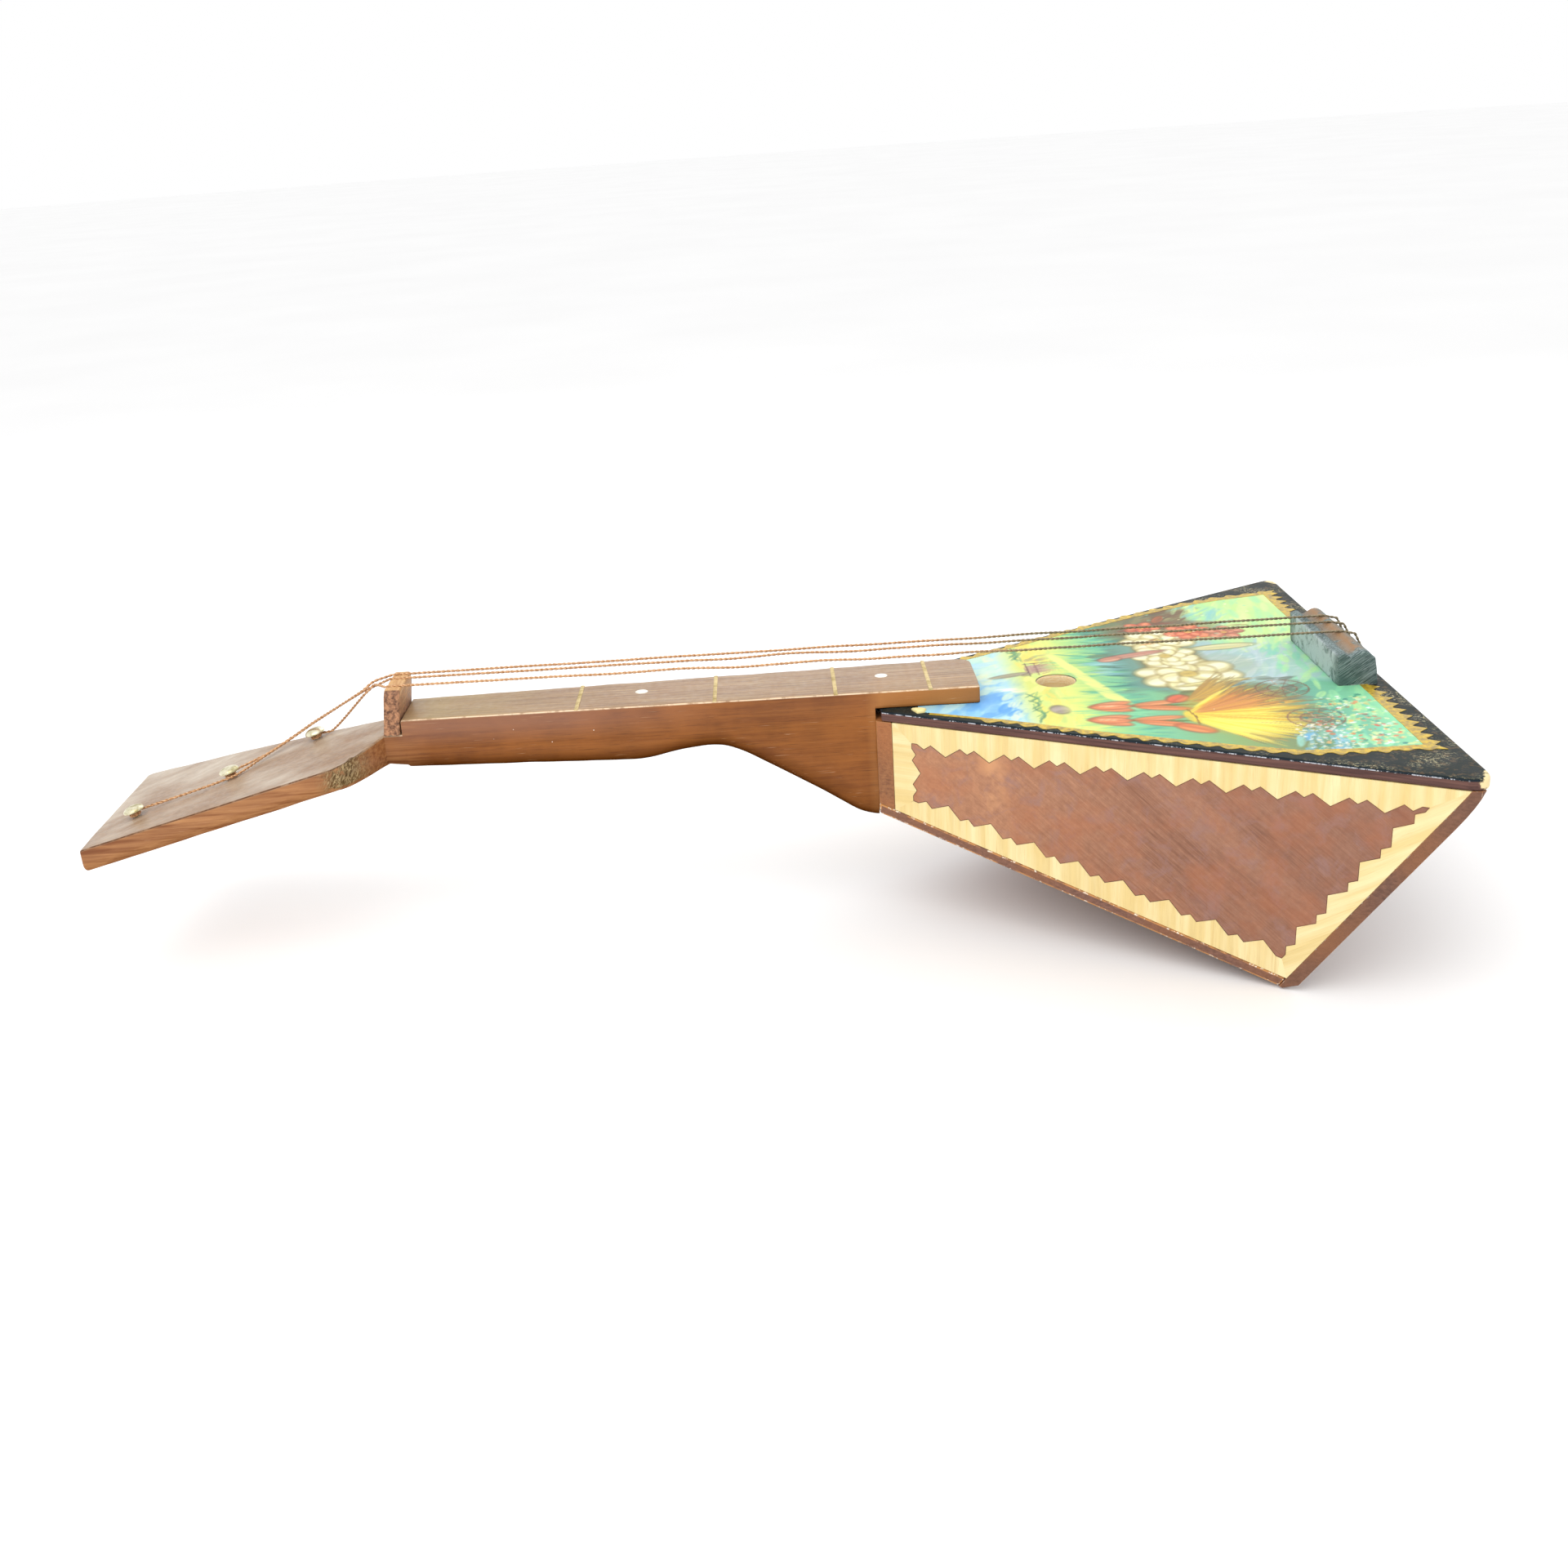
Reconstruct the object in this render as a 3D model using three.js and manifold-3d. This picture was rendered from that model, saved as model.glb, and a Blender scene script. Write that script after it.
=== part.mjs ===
// A small three-string balalaika: a deep triangular box body with inlaid side veneers,
// a one-piece neck whose paddle head carries three string tacks, a tall nut, and a bridge
// block at the tail edge. Millimetres. The working frame has +X from head to tail,
// z = 0 on the top of the soundboard, and x = 0 where the body begins.
import * as THREE from "three";
import { mergeVertices } from "three/addons/utils/BufferGeometryUtils.js";
import Module from "manifold-3d";

const wasm = await Module();
wasm.setup();

// ---- Driving dimensions ----

// Body: a wedge that widens and deepens from the neck to the tail.
const BODY_LENGTH = 158.8;
const FRONT_HALF_WIDTH = 18.2; // at x = 0
const TAIL_HALF_WIDTH = 106;
const FRONT_DEPTH = 34; // soundboard top to the inside of the back, at x = 0
const TAIL_DEPTH = 71.2; // the same where the back meets the tail plate
const TAIL_LEAN = 0.6; // how far the tail plate runs forward for each millimetre down
const PLATE = 3.5; // soundboard, back and tail plate
const FRONT_PLATE = 4.8;
const TAIL_FOOT_ROUND = 2.6; // worn bottom edge of the tail plate
const SIDE_PANEL = 2.5;
const VENEER = 0.6;
const CORNER_CUT = { near: 10.5, far: 7.5 }; // how far the rounding of each tail corner reaches
const SOUND_HOLE = { x: 56.5, y: 2, radius: 6.2 };
const GLUE = 0.1; // gap left between glued faces

// Side veneers: light border strips with a toothed inner edge around a brown field.
// For each edge, the strip's width up to the brown peaks, and how many teeth it has.
const STRIPS = {
  front: { width: 6.8, teeth: 3 },
  back: { width: 5.9, teeth: 16 },
  tail: { width: 5.3, teeth: 9 },
  top: { width: 6.3, teeth: 21 },
};
const SMALL_TOOTH = 4.9;
const LARGE_TOOTH = 10.2;
const TOOTH_SLOPE = 0.67; // tooth depth over half its width
const TOOTH_LEAD = 1.8; // straight run between a corner and the first tooth

// Frame inside the body.
const LINING = 4;
const BRACE_WIDTH = 5;
const BRACE_HEIGHT = 7;
const NECK_BLOCK_LENGTH = 20;
const SCREW_LENGTH = 26;

// Neck, from the nut to the end of the tongue that lies on the soundboard.
const NUT_X = -158.8; // where the fingerboard ends at the nut
const TONGUE_END = 29.2;
const NECK_HALF_AT_NUT = 10.8;
const NECK_HALF_AT_TONGUE = 14.8;
const FINGERBOARD_Z = 5.85;
const NECK_EDGE_RADIUS = 3.5; // rounding of the underside
const HEEL_BACK = -FRONT_PLATE - GLUE;
const BOARD_FRONT = -3; // front edge of the soundboard, just short of the heel

// Head: a flat paddle that leans back from the nut.
const SEAT_LENGTH = 6.2; // flat seat of the nut
const SEAT_Z = 0.8;
const HEAD_START = NUT_X - SEAT_LENGTH;
const HEAD_RUN = 97;
const HEAD_TILT = THREE.MathUtils.degToRad(13.9);
const HEAD_THICKNESS = 8.4;
const HEAD_END_HALF = 33;
const THROAT_FAR_HALF = 7; // the far edge is pared in behind the nut
const FAR_EDGE_CURVE = 0.85; // 1 would be a straight far edge
const SHOULDER_LENGTH = 14; // cut between the paddle and the neck on the near side
const SHOULDER_HALF = 29.7;

// Nut, frets and position dots.
const NUT = { thickness: 5.2, low: -11.3, high: 10, top: 16.2, round: 2, lean: 2.1 };
const FRETS = [-101.5, -56.5, -17.3, 13.3];
const FRET = { width: 1, depth: 1.2, proud: 0.2 };
const DOTS = [-81, -1.5];
const DOT = { radius: 2.15, depth: 1.2, proud: 0.08, y: 2 };

// Bridge block, across the strings at the tail edge.
const BRIDGE = { length: 49.5, y: 3.3, front: 141.5, back: 155.2, peak: 149.8, top: 11.3 };

// Tacks and strings.
const TACK = { shank: 1, head: 3.4, under: 2, dome: 1.8, buried: 6 };
const TAIL_TACK_BURIED = 3;
const TAIL_TACK_DROP = 17; // down from the soundboard's top
const STRING_RADIUS = 0.4;
const STRING_SIDES = 6;
const CLEAR = 0.15; // air kept round a string where it passes a part
// Where each tack stands on the head: distance up from the head's end, and across.
const HEAD_TACKS = [
  { along: 71, y: 11 },
  { along: 44, y: -3.5 },
  { along: 13.5, y: -14.5 },
];
// Across the nut and across the bridge, one pair for each string.
const STRING_LINES = [
  { nut: -6.7, bridge: -0.2 },
  { nut: 1.2, bridge: 10.7 },
  { nut: 5.6, bridge: 17.8 },
];
const BUNDLE = { start: -168.6, end: -172.6, y: 3, startZ: 14.4, endZ: 11.9, radius: 0.95 };

// ---- Derived places ----

const SIDE_ANGLE = Math.atan2(TAIL_HALF_WIDTH - FRONT_HALF_WIDTH, BODY_LENGTH);
const TAIL_ANGLE = Math.atan(TAIL_LEAN);
const TAIL_RUN = PLATE / Math.cos(TAIL_ANGLE); // tail plate thickness measured along x
const tailOuter = (z) => BODY_LENGTH + TAIL_LEAN * z;
const tailInner = (z) => tailOuter(z) - TAIL_RUN;
const BACK_SLOPE = (TAIL_DEPTH - FRONT_DEPTH) / tailInner(-TAIL_DEPTH);
const BACK_DROP = PLATE * Math.hypot(1, BACK_SLOPE); // back plate thickness measured along z
const backTop = (x) => -FRONT_DEPTH - BACK_SLOPE * x;
// Where a line lying the given drop below the back's inner face meets a face of the tail plate.
function backMeetsTail(tailFace, drop) {
  const x = (tailFace(0) - TAIL_LEAN * (FRONT_DEPTH + drop)) / (1 + TAIL_LEAN * BACK_SLOPE);
  return [x, backTop(x) - drop];
}
const halfWidth = (x) => FRONT_HALF_WIDTH + Math.tan(SIDE_ANGLE) * x;

// ---- Solids ----

// A closed three.js geometry as a solid that can be joined and cut.
function solid(geometry) {
  const bare = geometry.clone();
  bare.deleteAttribute("normal");
  bare.deleteAttribute("uv");
  const merged = mergeVertices(bare, 1e-4);
  return new wasm.Manifold(
    new wasm.Mesh({
      numProp: 3,
      vertProperties: new Float32Array(merged.attributes.position.array),
      triVerts: new Uint32Array(merged.index.array),
    }),
  );
}

// The solid back as a three.js geometry with flat faces.
function geometryOf(body) {
  const mesh = body.getMesh();
  const geometry = new THREE.BufferGeometry();
  geometry.setAttribute("position", new THREE.BufferAttribute(mesh.vertProperties, 3));
  geometry.setIndex(new THREE.BufferAttribute(mesh.triVerts, 1));
  const flat = geometry.toNonIndexed();
  flat.computeVertexNormals();
  return flat;
}

function shapeOf(points) {
  return new THREE.Shape(points.map(([x, y]) => new THREE.Vector2(x, y)));
}

// An outline in plan, between two heights.
function planPrism(shape, low, high) {
  const geometry = new THREE.ExtrudeGeometry(shape, {
    depth: high - low,
    bevelEnabled: false,
    curveSegments: 8,
  });
  return geometry.translate(0, 0, low);
}

// An outline in side view, [x, z] points, carried across from y = low to y = high.
function profilePrism(points, low, high) {
  const geometry = new THREE.ExtrudeGeometry(shapeOf(points), {
    depth: high - low,
    bevelEnabled: false,
  });
  return geometry.rotateX(Math.PI / 2).translate(0, high, 0);
}

// A box between two corners.
function block(low, high) {
  const size = high.map((value, i) => value - low[i]);
  const middle = high.map((value, i) => (value + low[i]) / 2);
  return new THREE.BoxGeometry(...size).translate(...middle);
}

const cut = (body, ...tools) => tools.reduce((rest, tool) => rest.subtract(solid(tool)), body);

// ---- Colours ----

const finish = (color, roughness, metalness = 0) => ({ color, roughness, metalness });
const FINISHES = {
  brownWood: finish(0x8a5530, 0.45),
  nutWood: finish(0xc9a06c, 0.6),
  paleWood: finish(0xead9a8, 0.6),
  lightVeneer: finish(0xf6e6b4, 0.4),
  brownVeneer: finish(0x9a6a55, 0.4),
  paintedBoard: finish(0x49605a, 0.35),
  slatePaint: finish(0x566a6c, 0.55),
  fretMetal: finish(0xcdb673, 0.4, 0.6),
  dot: finish(0xf4f0e6, 0.3),
  brass: finish(0xdcd28c, 0.3, 0.9),
  string: finish(0xa87c50, 0.4, 0.7),
  steel: finish(0x9a9a98, 0.4, 0.9),
};

const model = new THREE.Group();

function add(name, finishName, geometry, parent = model) {
  const mesh = new THREE.Mesh(geometry, new THREE.MeshStandardMaterial(FINISHES[finishName]));
  mesh.name = name;
  parent.add(mesh);
  return mesh;
}

// ---- Body plates ----

// The body's outline in plan, from x = front to the tail, with rounded tail corners.
function bodyOutline(front, inset = 0) {
  const side = inset / Math.cos(SIDE_ANGLE);
  const tail = BODY_LENGTH - inset;
  const half = halfWidth(tail) - side;
  const { near, far } = CORNER_CUT;
  const onSide = (distance, sign) => [
    tail - distance * Math.cos(SIDE_ANGLE),
    sign * (half - distance * Math.sin(SIDE_ANGLE)),
  ];
  const shape = new THREE.Shape();
  shape.moveTo(front, -(halfWidth(front) - side));
  shape.lineTo(...onSide(near, -1));
  shape.quadraticCurveTo(tail, -half, tail, -(half - near));
  shape.lineTo(tail, half - far);
  shape.quadraticCurveTo(tail, half, ...onSide(far, 1));
  shape.lineTo(front, halfWidth(front) - side);
  shape.closePath();
  return shape;
}

// Everything inside the plan of the body, from well above to well below it.
const bodyWedge = () => solid(planPrism(bodyOutline(-FRONT_PLATE), -100, 20));

function makePlates() {
  const board = bodyOutline(BOARD_FRONT);
  const hole = new THREE.Path();
  hole.absarc(SOUND_HOLE.x, SOUND_HOLE.y, SOUND_HOLE.radius, 0, 2 * Math.PI);
  board.holes.push(hole);
  const boardGeometry = new THREE.ExtrudeGeometry(board, {
    depth: PLATE,
    bevelEnabled: false,
    curveSegments: 24,
  });
  add("soundboard", "paintedBoard", boardGeometry.translate(0, 0, -PLATE));

  const wide = TAIL_HALF_WIDTH + 10;
  const underBoard = -PLATE - GLUE;
  const backEnd = (z) => tailInner(z) - GLUE;
  const backStrip = profilePrism(
    [
      [-FRONT_PLATE, backTop(-FRONT_PLATE) - BACK_DROP],
      backMeetsTail(backEnd, BACK_DROP),
      backMeetsTail(backEnd, 0),
      [-FRONT_PLATE, backTop(-FRONT_PLATE)],
    ],
    -wide,
    wide,
  );
  add("back_plate", "brownWood", geometryOf(solid(backStrip).intersect(bodyWedge())));

  const footEdge = backMeetsTail(tailOuter, BACK_DROP);
  const tailStrip = profilePrism(
    [
      backMeetsTail(tailInner, BACK_DROP),
      [footEdge[0] - TAIL_FOOT_ROUND, footEdge[1] + TAIL_FOOT_ROUND * BACK_SLOPE],
      [footEdge[0] + TAIL_LEAN * TAIL_FOOT_ROUND, footEdge[1] + TAIL_FOOT_ROUND],
      [tailOuter(underBoard), underBoard],
      [tailInner(underBoard), underBoard],
    ],
    -wide,
    wide,
  );
  const tailHoles = STRING_LINES.map((line) => tailTackPlace(line).hole);
  const tailPlate = cut(solid(tailStrip).intersect(bodyWedge()), ...tailHoles);
  add("tail_plate", "brownWood", geometryOf(tailPlate));

  const frontStrip = profilePrism(
    [
      [-FRONT_PLATE, backTop(-FRONT_PLATE) + GLUE],
      [0, backTop(0) + GLUE],
      [0, underBoard],
      [-FRONT_PLATE, underBoard],
    ],
    -wide,
    wide,
  );
  const frontPlate = cut(solid(frontStrip).intersect(bodyWedge()), screwHole());
  add("front_plate", "brownWood", geometryOf(frontPlate));
}

// ---- Sides ----

// The space between front plate, soundboard, tail plate and back, in side view.
function interiorPrism(gap) {
  const wide = TAIL_HALF_WIDTH + 10;
  const top = -PLATE - gap;
  const end = tailInner(-TAIL_DEPTH) - gap;
  const outline = [
    [gap, backTop(gap) + gap],
    [end, backTop(end) + gap],
    [tailInner(top) - gap * 1.3, top],
    [gap, top],
  ];
  return solid(profilePrism(outline, -wide, wide));
}

// Corners of a side's face, measured along the side and down from the soundboard's top.
const alongSide = (x) => x / Math.cos(SIDE_ANGLE);
const SIDE_CORNERS = [
  [0, -PLATE],
  [0, -FRONT_DEPTH],
  [alongSide(tailInner(-TAIL_DEPTH)), -TAIL_DEPTH],
  [alongSide(tailInner(-PLATE)), -PLATE],
].map(([u, v]) => new THREE.Vector2(u, v));

// Turns a slab drawn on a side's face, [along, height] with its depth inwards, into place.
function placeOnSide(geometry, sign) {
  if (sign < 0) return geometry.rotateX(Math.PI / 2).scale(1, -1, 1).rotateZ(-SIDE_ANGLE);
  return geometry.rotateX(Math.PI / 2).rotateZ(SIDE_ANGLE);
}

// A flat piece of the side, between two depths below its outer face, fitted inside the body.
function sidePiece(points, from, to, sign) {
  const shape = new THREE.Shape(points);
  const slab = new THREE.ExtrudeGeometry(shape, { depth: to - from, bevelEnabled: false });
  slab.translate(0, 0, from);
  const placed = placeOnSide(slab, sign);
  placed.translate(0, sign * FRONT_HALF_WIDTH, 0);
  const body = solid(sign < 0 ? flipped(placed) : placed);
  return body.intersect(interiorPrism(GLUE)).intersect(bodyWedge());
}

// The same surface with its faces turned round, for a geometry that has been mirrored.
function flipped(geometry) {
  const plain = geometry.index ? geometry.toNonIndexed() : geometry;
  const array = plain.attributes.position.array;
  for (let i = 0; i < array.length; i += 9) {
    for (let axis = 0; axis < 3; axis += 1) {
      const held = array[i + axis];
      array[i + axis] = array[i + 3 + axis];
      array[i + 3 + axis] = held;
    }
  }
  return plain;
}

// The corner points of the brown field: each edge of the side moved in by its strip's width.
function fieldCorners() {
  const widths = Object.values(STRIPS).map((strip) => strip.width);
  const count = SIDE_CORNERS.length;
  return SIDE_CORNERS.map((corner, i) => {
    const last = (i + count - 1) % count;
    const a = corner.clone().sub(SIDE_CORNERS[last]).normalize();
    const b = SIDE_CORNERS[(i + 1) % count].clone().sub(corner).normalize();
    const sine = a.cross(b);
    return corner
      .clone()
      .addScaledVector(b, widths[last] / sine)
      .addScaledVector(a, -widths[i] / sine);
  });
}

// Teeth from one field corner to the next: small and large in turn, stretched a little so that
// they fit exactly. The tips point into the field.
function toothedEdge(from, to, teeth) {
  const run = to.clone().sub(from);
  const length = run.length() - 2 * TOOTH_LEAD;
  const widths = Array.from({ length: teeth }, (_, i) => (i % 2 ? LARGE_TOOTH : SMALL_TOOTH));
  const stretch = length / widths.reduce((sum, width) => sum + width);
  const direction = run.normalize();
  const inward = new THREE.Vector2(-direction.y, direction.x);
  const at = (distance) => from.clone().addScaledVector(direction, distance);
  const points = [from.clone(), at(TOOTH_LEAD)];
  let distance = TOOTH_LEAD;
  for (const drawn of widths) {
    const width = drawn * stretch;
    points.push(at(distance + width / 2).addScaledVector(inward, (TOOTH_SLOPE * width) / 2));
    distance += width;
    points.push(at(distance));
  }
  points.push(to.clone());
  return points;
}

function makeSides() {
  const inner = fieldCorners();
  const names = Object.keys(STRIPS);
  const edges = names.map((name, i) =>
    toothedEdge(inner[i], inner[(i + 1) % names.length], STRIPS[name].teeth),
  );
  const field = edges.flatMap((edge) => edge.slice(0, -1));
  for (const [side, sign] of [
    ["near", -1],
    ["far", 1],
  ]) {
    const panel = sidePiece(SIDE_CORNERS, VENEER + GLUE, VENEER + GLUE + SIDE_PANEL, sign);
    add(`${side}_side_panel`, "paleWood", geometryOf(panel));
    add(`${side}_veneer_field`, "brownVeneer", geometryOf(sidePiece(field, 0, VENEER, sign)));
    names.forEach((name, i) => {
      const outer = [SIDE_CORNERS[i], SIDE_CORNERS[(i + 1) % names.length]];
      const strip = [...outer, ...edges[i].slice().reverse()];
      const geometry = geometryOf(sidePiece(strip, 0, VENEER, sign));
      add(`${side}_veneer_${name}`, "lightVeneer", geometry);
    });
  }
}

// ---- Frame inside the body ----

const INSIDE = VENEER + SIDE_PANEL + 3 * GLUE; // from the side's outer face to clear of its inner face

function makeInnerFrame() {
  const wide = TAIL_HALF_WIDTH + 10;
  const hollow = solid(planPrism(bodyOutline(GLUE, INSIDE), -100, 20)).intersect(interiorPrism(2 * GLUE));
  const core = solid(planPrism(bodyOutline(GLUE, INSIDE + LINING), -100, 20));
  const blockEnd = NECK_BLOCK_LENGTH;
  const topBand = block([blockEnd + 1, -wide, -PLATE - LINING], [BODY_LENGTH, wide, 0]);
  const ring = hollow.subtract(core).intersect(solid(topBand));
  const tailCut = tailInner(-PLATE) - LINING - 4;
  const half = (sign, start, end) =>
    solid(block([start, sign < 0 ? -wide : 0, -100], [end, sign < 0 ? 0 : wide, 20]));
  add("near_top_lining", "paleWood", geometryOf(ring.intersect(half(-1, 0, tailCut))));
  add("far_top_lining", "paleWood", geometryOf(ring.intersect(half(1, 0, tailCut))));

  const low = (x) => backTop(x) + 2 * GLUE;
  const backBand = profilePrism(
    [
      [blockEnd + 1, low(blockEnd + 1)],
      [tailInner(-TAIL_DEPTH) - LINING - 2, low(tailInner(-TAIL_DEPTH) - LINING - 2)],
      [tailInner(-TAIL_DEPTH) - LINING - 2, low(tailInner(-TAIL_DEPTH) - LINING - 2) + LINING],
      [blockEnd + 1, low(blockEnd + 1) + LINING],
    ],
    -wide,
    wide,
  );
  const backRing = hollow.subtract(core).intersect(solid(backBand));
  add("near_back_lining", "paleWood", geometryOf(backRing.intersect(half(-1, 0, BODY_LENGTH))));
  add("far_back_lining", "paleWood", geometryOf(backRing.intersect(half(1, 0, BODY_LENGTH))));

  // Strips across the tail plate's inner face, under the soundboard and over the back.
  const strip = (z, height) => [
    [tailInner(z) - LINING, z],
    [tailInner(z) - 3 * GLUE, z],
    [tailInner(z + height) - 3 * GLUE, z + height],
    [tailInner(z) - LINING, z + height],
  ];
  const topStrip = solid(profilePrism(strip(-PLATE - 2 * GLUE - LINING, LINING), -wide, wide));
  add("tail_top_lining", "paleWood", geometryOf(topStrip.intersect(hollow)));
  const lowStrip = solid(profilePrism(strip(-TAIL_DEPTH + 3 * GLUE, LINING), -wide, wide));
  add("tail_back_lining", "paleWood", geometryOf(lowStrip.intersect(hollow)));

  // Bars across the inside of the soundboard and of the back.
  const boardFace = -PLATE - GLUE;
  for (const [name, x] of [
    ["soundboard_brace_1", 38],
    ["soundboard_brace_2", 98],
  ]) {
    const reach = halfWidth(x) - (INSIDE + LINING + 1) / Math.cos(SIDE_ANGLE);
    const bar = block([x, -reach, boardFace - BRACE_HEIGHT], [x + BRACE_WIDTH, reach, boardFace]);
    add(name, "paleWood", bar);
  }
  const backBarX = 66;
  const reach = halfWidth(backBarX) - (INSIDE + LINING + 1) / Math.cos(SIDE_ANGLE);
  const barEnd = backBarX + BRACE_WIDTH;
  const backBar = profilePrism(
    [
      [backBarX, low(backBarX)],
      [barEnd, low(barEnd)],
      [barEnd, low(backBarX) + BRACE_HEIGHT],
      [backBarX, low(backBarX) + BRACE_HEIGHT],
    ],
    -reach,
    reach,
  );
  add("back_brace", "paleWood", backBar);

  const blockBody = hollow.intersect(solid(block([0, -wide, -100], [blockEnd, wide, 20])));
  add("neck_block", "paleWood", geometryOf(cut(blockBody, screwHole())));
}

// One screw from inside the body, through block and front plate into the heel.
const SCREW = { z: -19, radius: 2, head: 4, headDepth: 2.4 };

function screwHole() {
  const run = NECK_BLOCK_LENGTH + SCREW_LENGTH;
  const bore = new THREE.CylinderGeometry(SCREW.radius + 0.1, SCREW.radius + 0.1, 2 * run, 16);
  return bore.rotateZ(Math.PI / 2).translate(0, 0, SCREW.z);
}

function makeScrew() {
  const points = [
    [0, 0],
    [SCREW.radius, 4],
    [SCREW.radius, SCREW_LENGTH + NECK_BLOCK_LENGTH / 2],
    [SCREW.head, SCREW_LENGTH + NECK_BLOCK_LENGTH / 2],
    [SCREW.head, SCREW_LENGTH + NECK_BLOCK_LENGTH / 2 + SCREW.headDepth],
    [0, SCREW_LENGTH + NECK_BLOCK_LENGTH / 2 + SCREW.headDepth],
  ].map(([r, h]) => new THREE.Vector2(r, h));
  const screw = new THREE.LatheGeometry(points, 16);
  const start = NECK_BLOCK_LENGTH + GLUE - (SCREW_LENGTH + NECK_BLOCK_LENGTH / 2);
  screw.rotateZ(-Math.PI / 2).translate(start, 0, SCREW.z);
  add("neck_screw", "steel", screw);
}

// ---- Neck and head ----

// A piecewise line through [x, value] points.
function through(points) {
  return (x) => {
    const next = points.findIndex(([px]) => px >= x);
    if (next <= 0) return points[next < 0 ? points.length - 1 : 0][1];
    const [x0, v0] = points[next - 1];
    const [x1, v1] = points[next];
    return v0 + ((v1 - v0) * (x - x0)) / (x1 - x0);
  };
}

const HEAD_END = HEAD_START - HEAD_RUN;
const headTop = (x) => SEAT_Z + (x - HEAD_START) * Math.tan(HEAD_TILT);
const neckHalf = through([
  [NUT_X, NECK_HALF_AT_NUT],
  [TONGUE_END, NECK_HALF_AT_TONGUE],
]);

// Half widths of the neck and head on the near and the far side.
function nearHalf(x) {
  if (x >= HEAD_START) return neckHalf(x);
  const shoulder = (HEAD_START - x) / SHOULDER_LENGTH;
  if (shoulder < 1) {
    const ease = Math.sin((shoulder * Math.PI) / 2);
    return NECK_HALF_AT_NUT + (SHOULDER_HALF - NECK_HALF_AT_NUT) * ease;
  }
  const paddle = (HEAD_START - SHOULDER_LENGTH - x) / (HEAD_RUN - SHOULDER_LENGTH);
  return SHOULDER_HALF + (HEAD_END_HALF - SHOULDER_HALF) * paddle;
}

function farHalf(x) {
  if (x >= HEAD_START) return neckHalf(x);
  const run = ((HEAD_START - x) / HEAD_RUN) ** FAR_EDGE_CURVE;
  return THROAT_FAR_HALF + (HEAD_END_HALF - THROAT_FAR_HALF) * run;
}

// The underside: the head, a small step at the nut, the grip, a hollow, then the deep heel.
const underside = through([
  [HEAD_END, headTop(HEAD_END) - HEAD_THICKNESS],
  [-177, headTop(-177) - HEAD_THICKNESS],
  [-167, -10],
  [-159.4, -10.3],
  [-158.4, -11.4],
  [-121, -12.4],
  [-83.5, -13.6],
  [-77, -12.8],
  [-68, -10.8],
  [-60, -9.9],
  [-54, -10.3],
  [-48, -12.9],
  [-36, -20.3],
  [-25, -27],
  [-17.5, -32.2],
  [-11.4, -36.2],
  [-6.4, -37.8],
  [0, -38.4],
]);

// A bar along x whose cross-section is flat on top, upright at the sides and rounded below.
// Its rings stand at the given places and take their widths and heights there.
function carvedBar(places, top) {
  const CORNER = 4; // straight stretches of each rounded edge
  const MIDDLE = 10; // half width of the unit section, in edge radii
  const section = [[-MIDDLE, 2]];
  for (let i = 0; i <= CORNER; i += 1) {
    const angle = (i / CORNER) * (Math.PI / 2);
    section.push([-MIDDLE + 1 - Math.cos(angle), 1 - Math.sin(angle)]);
  }
  for (let i = CORNER; i >= 0; i -= 1) {
    const angle = (i / CORNER) * (Math.PI / 2);
    section.push([MIDDLE - 1 + Math.cos(angle), 1 - Math.sin(angle)]);
  }
  section.push([MIDDLE, 2]);
  const steps = places.length - 1;
  const bar = new THREE.ExtrudeGeometry(shapeOf(section), { depth: steps, steps, bevelEnabled: false });
  const position = bar.attributes.position;
  for (let i = 0; i < position.count; i += 1) {
    const across = position.getX(i);
    const up = position.getY(i);
    const x = places[Math.round(position.getZ(i))];
    const half = across < 0 ? nearHalf(x) : farHalf(x);
    const y = Math.sign(across) * (half - NECK_EDGE_RADIUS * (MIDDLE - Math.abs(across)));
    const z = up > 1.5 ? top(x) : underside(x) + NECK_EDGE_RADIUS * up;
    position.setXYZ(i, x, y, z);
  }
  return bar;
}

function makeNeck() {
  const shoulder = [];
  for (let i = 0; i <= 7; i += 1) {
    shoulder.push(HEAD_START - SHOULDER_LENGTH + (SHOULDER_LENGTH * i) / 7);
  }
  const grip = [-159.4, -158.4, -121, -83.5, -77, -68, -60, -54, -48, -36, -25, -17.5, -11.4, -6.4, 0];
  const places = [HEAD_END, -245, -225, -210, -195, ...shoulder, ...grip, TONGUE_END];
  const top = (x) => (x < HEAD_START - GLUE ? headTop(x) : FINGERBOARD_Z);
  places.splice(places.indexOf(HEAD_START), 0, HEAD_START - 2 * GLUE);
  const seat = block([HEAD_START - 3 * GLUE, -40, SEAT_Z], [NUT_X, 40, 30]);
  const underTongue = block([HEEL_BACK, -40, -60], [TONGUE_END + 10, 40, GLUE]);
  const fretSlots = FRETS.map((x) =>
    fretBar(x, FRET.width / 2 + GLUE, 40, FRET.depth + GLUE, 30),
  );
  const dotHoles = DOTS.map((x) => dotDisc(x, DOT.radius + GLUE, DOT.depth + GLUE));
  const tackHoles = HEAD_TACKS.map((spot) => headTackPlace(spot).hole);
  const bar = solid(carvedBar(places, top));
  const tools = [seat, underTongue, ...fretSlots, ...dotHoles, ...tackHoles, screwHole()];
  add("neck", "brownWood", geometryOf(cut(bar, ...tools)));
}

function dotDisc(x, radius, depth) {
  const disc = new THREE.CylinderGeometry(radius, radius, depth + DOT.proud, 24);
  const middle = FINGERBOARD_Z + DOT.proud - (depth + DOT.proud) / 2;
  return disc.rotateX(Math.PI / 2).translate(x, DOT.y, middle);
}

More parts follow.
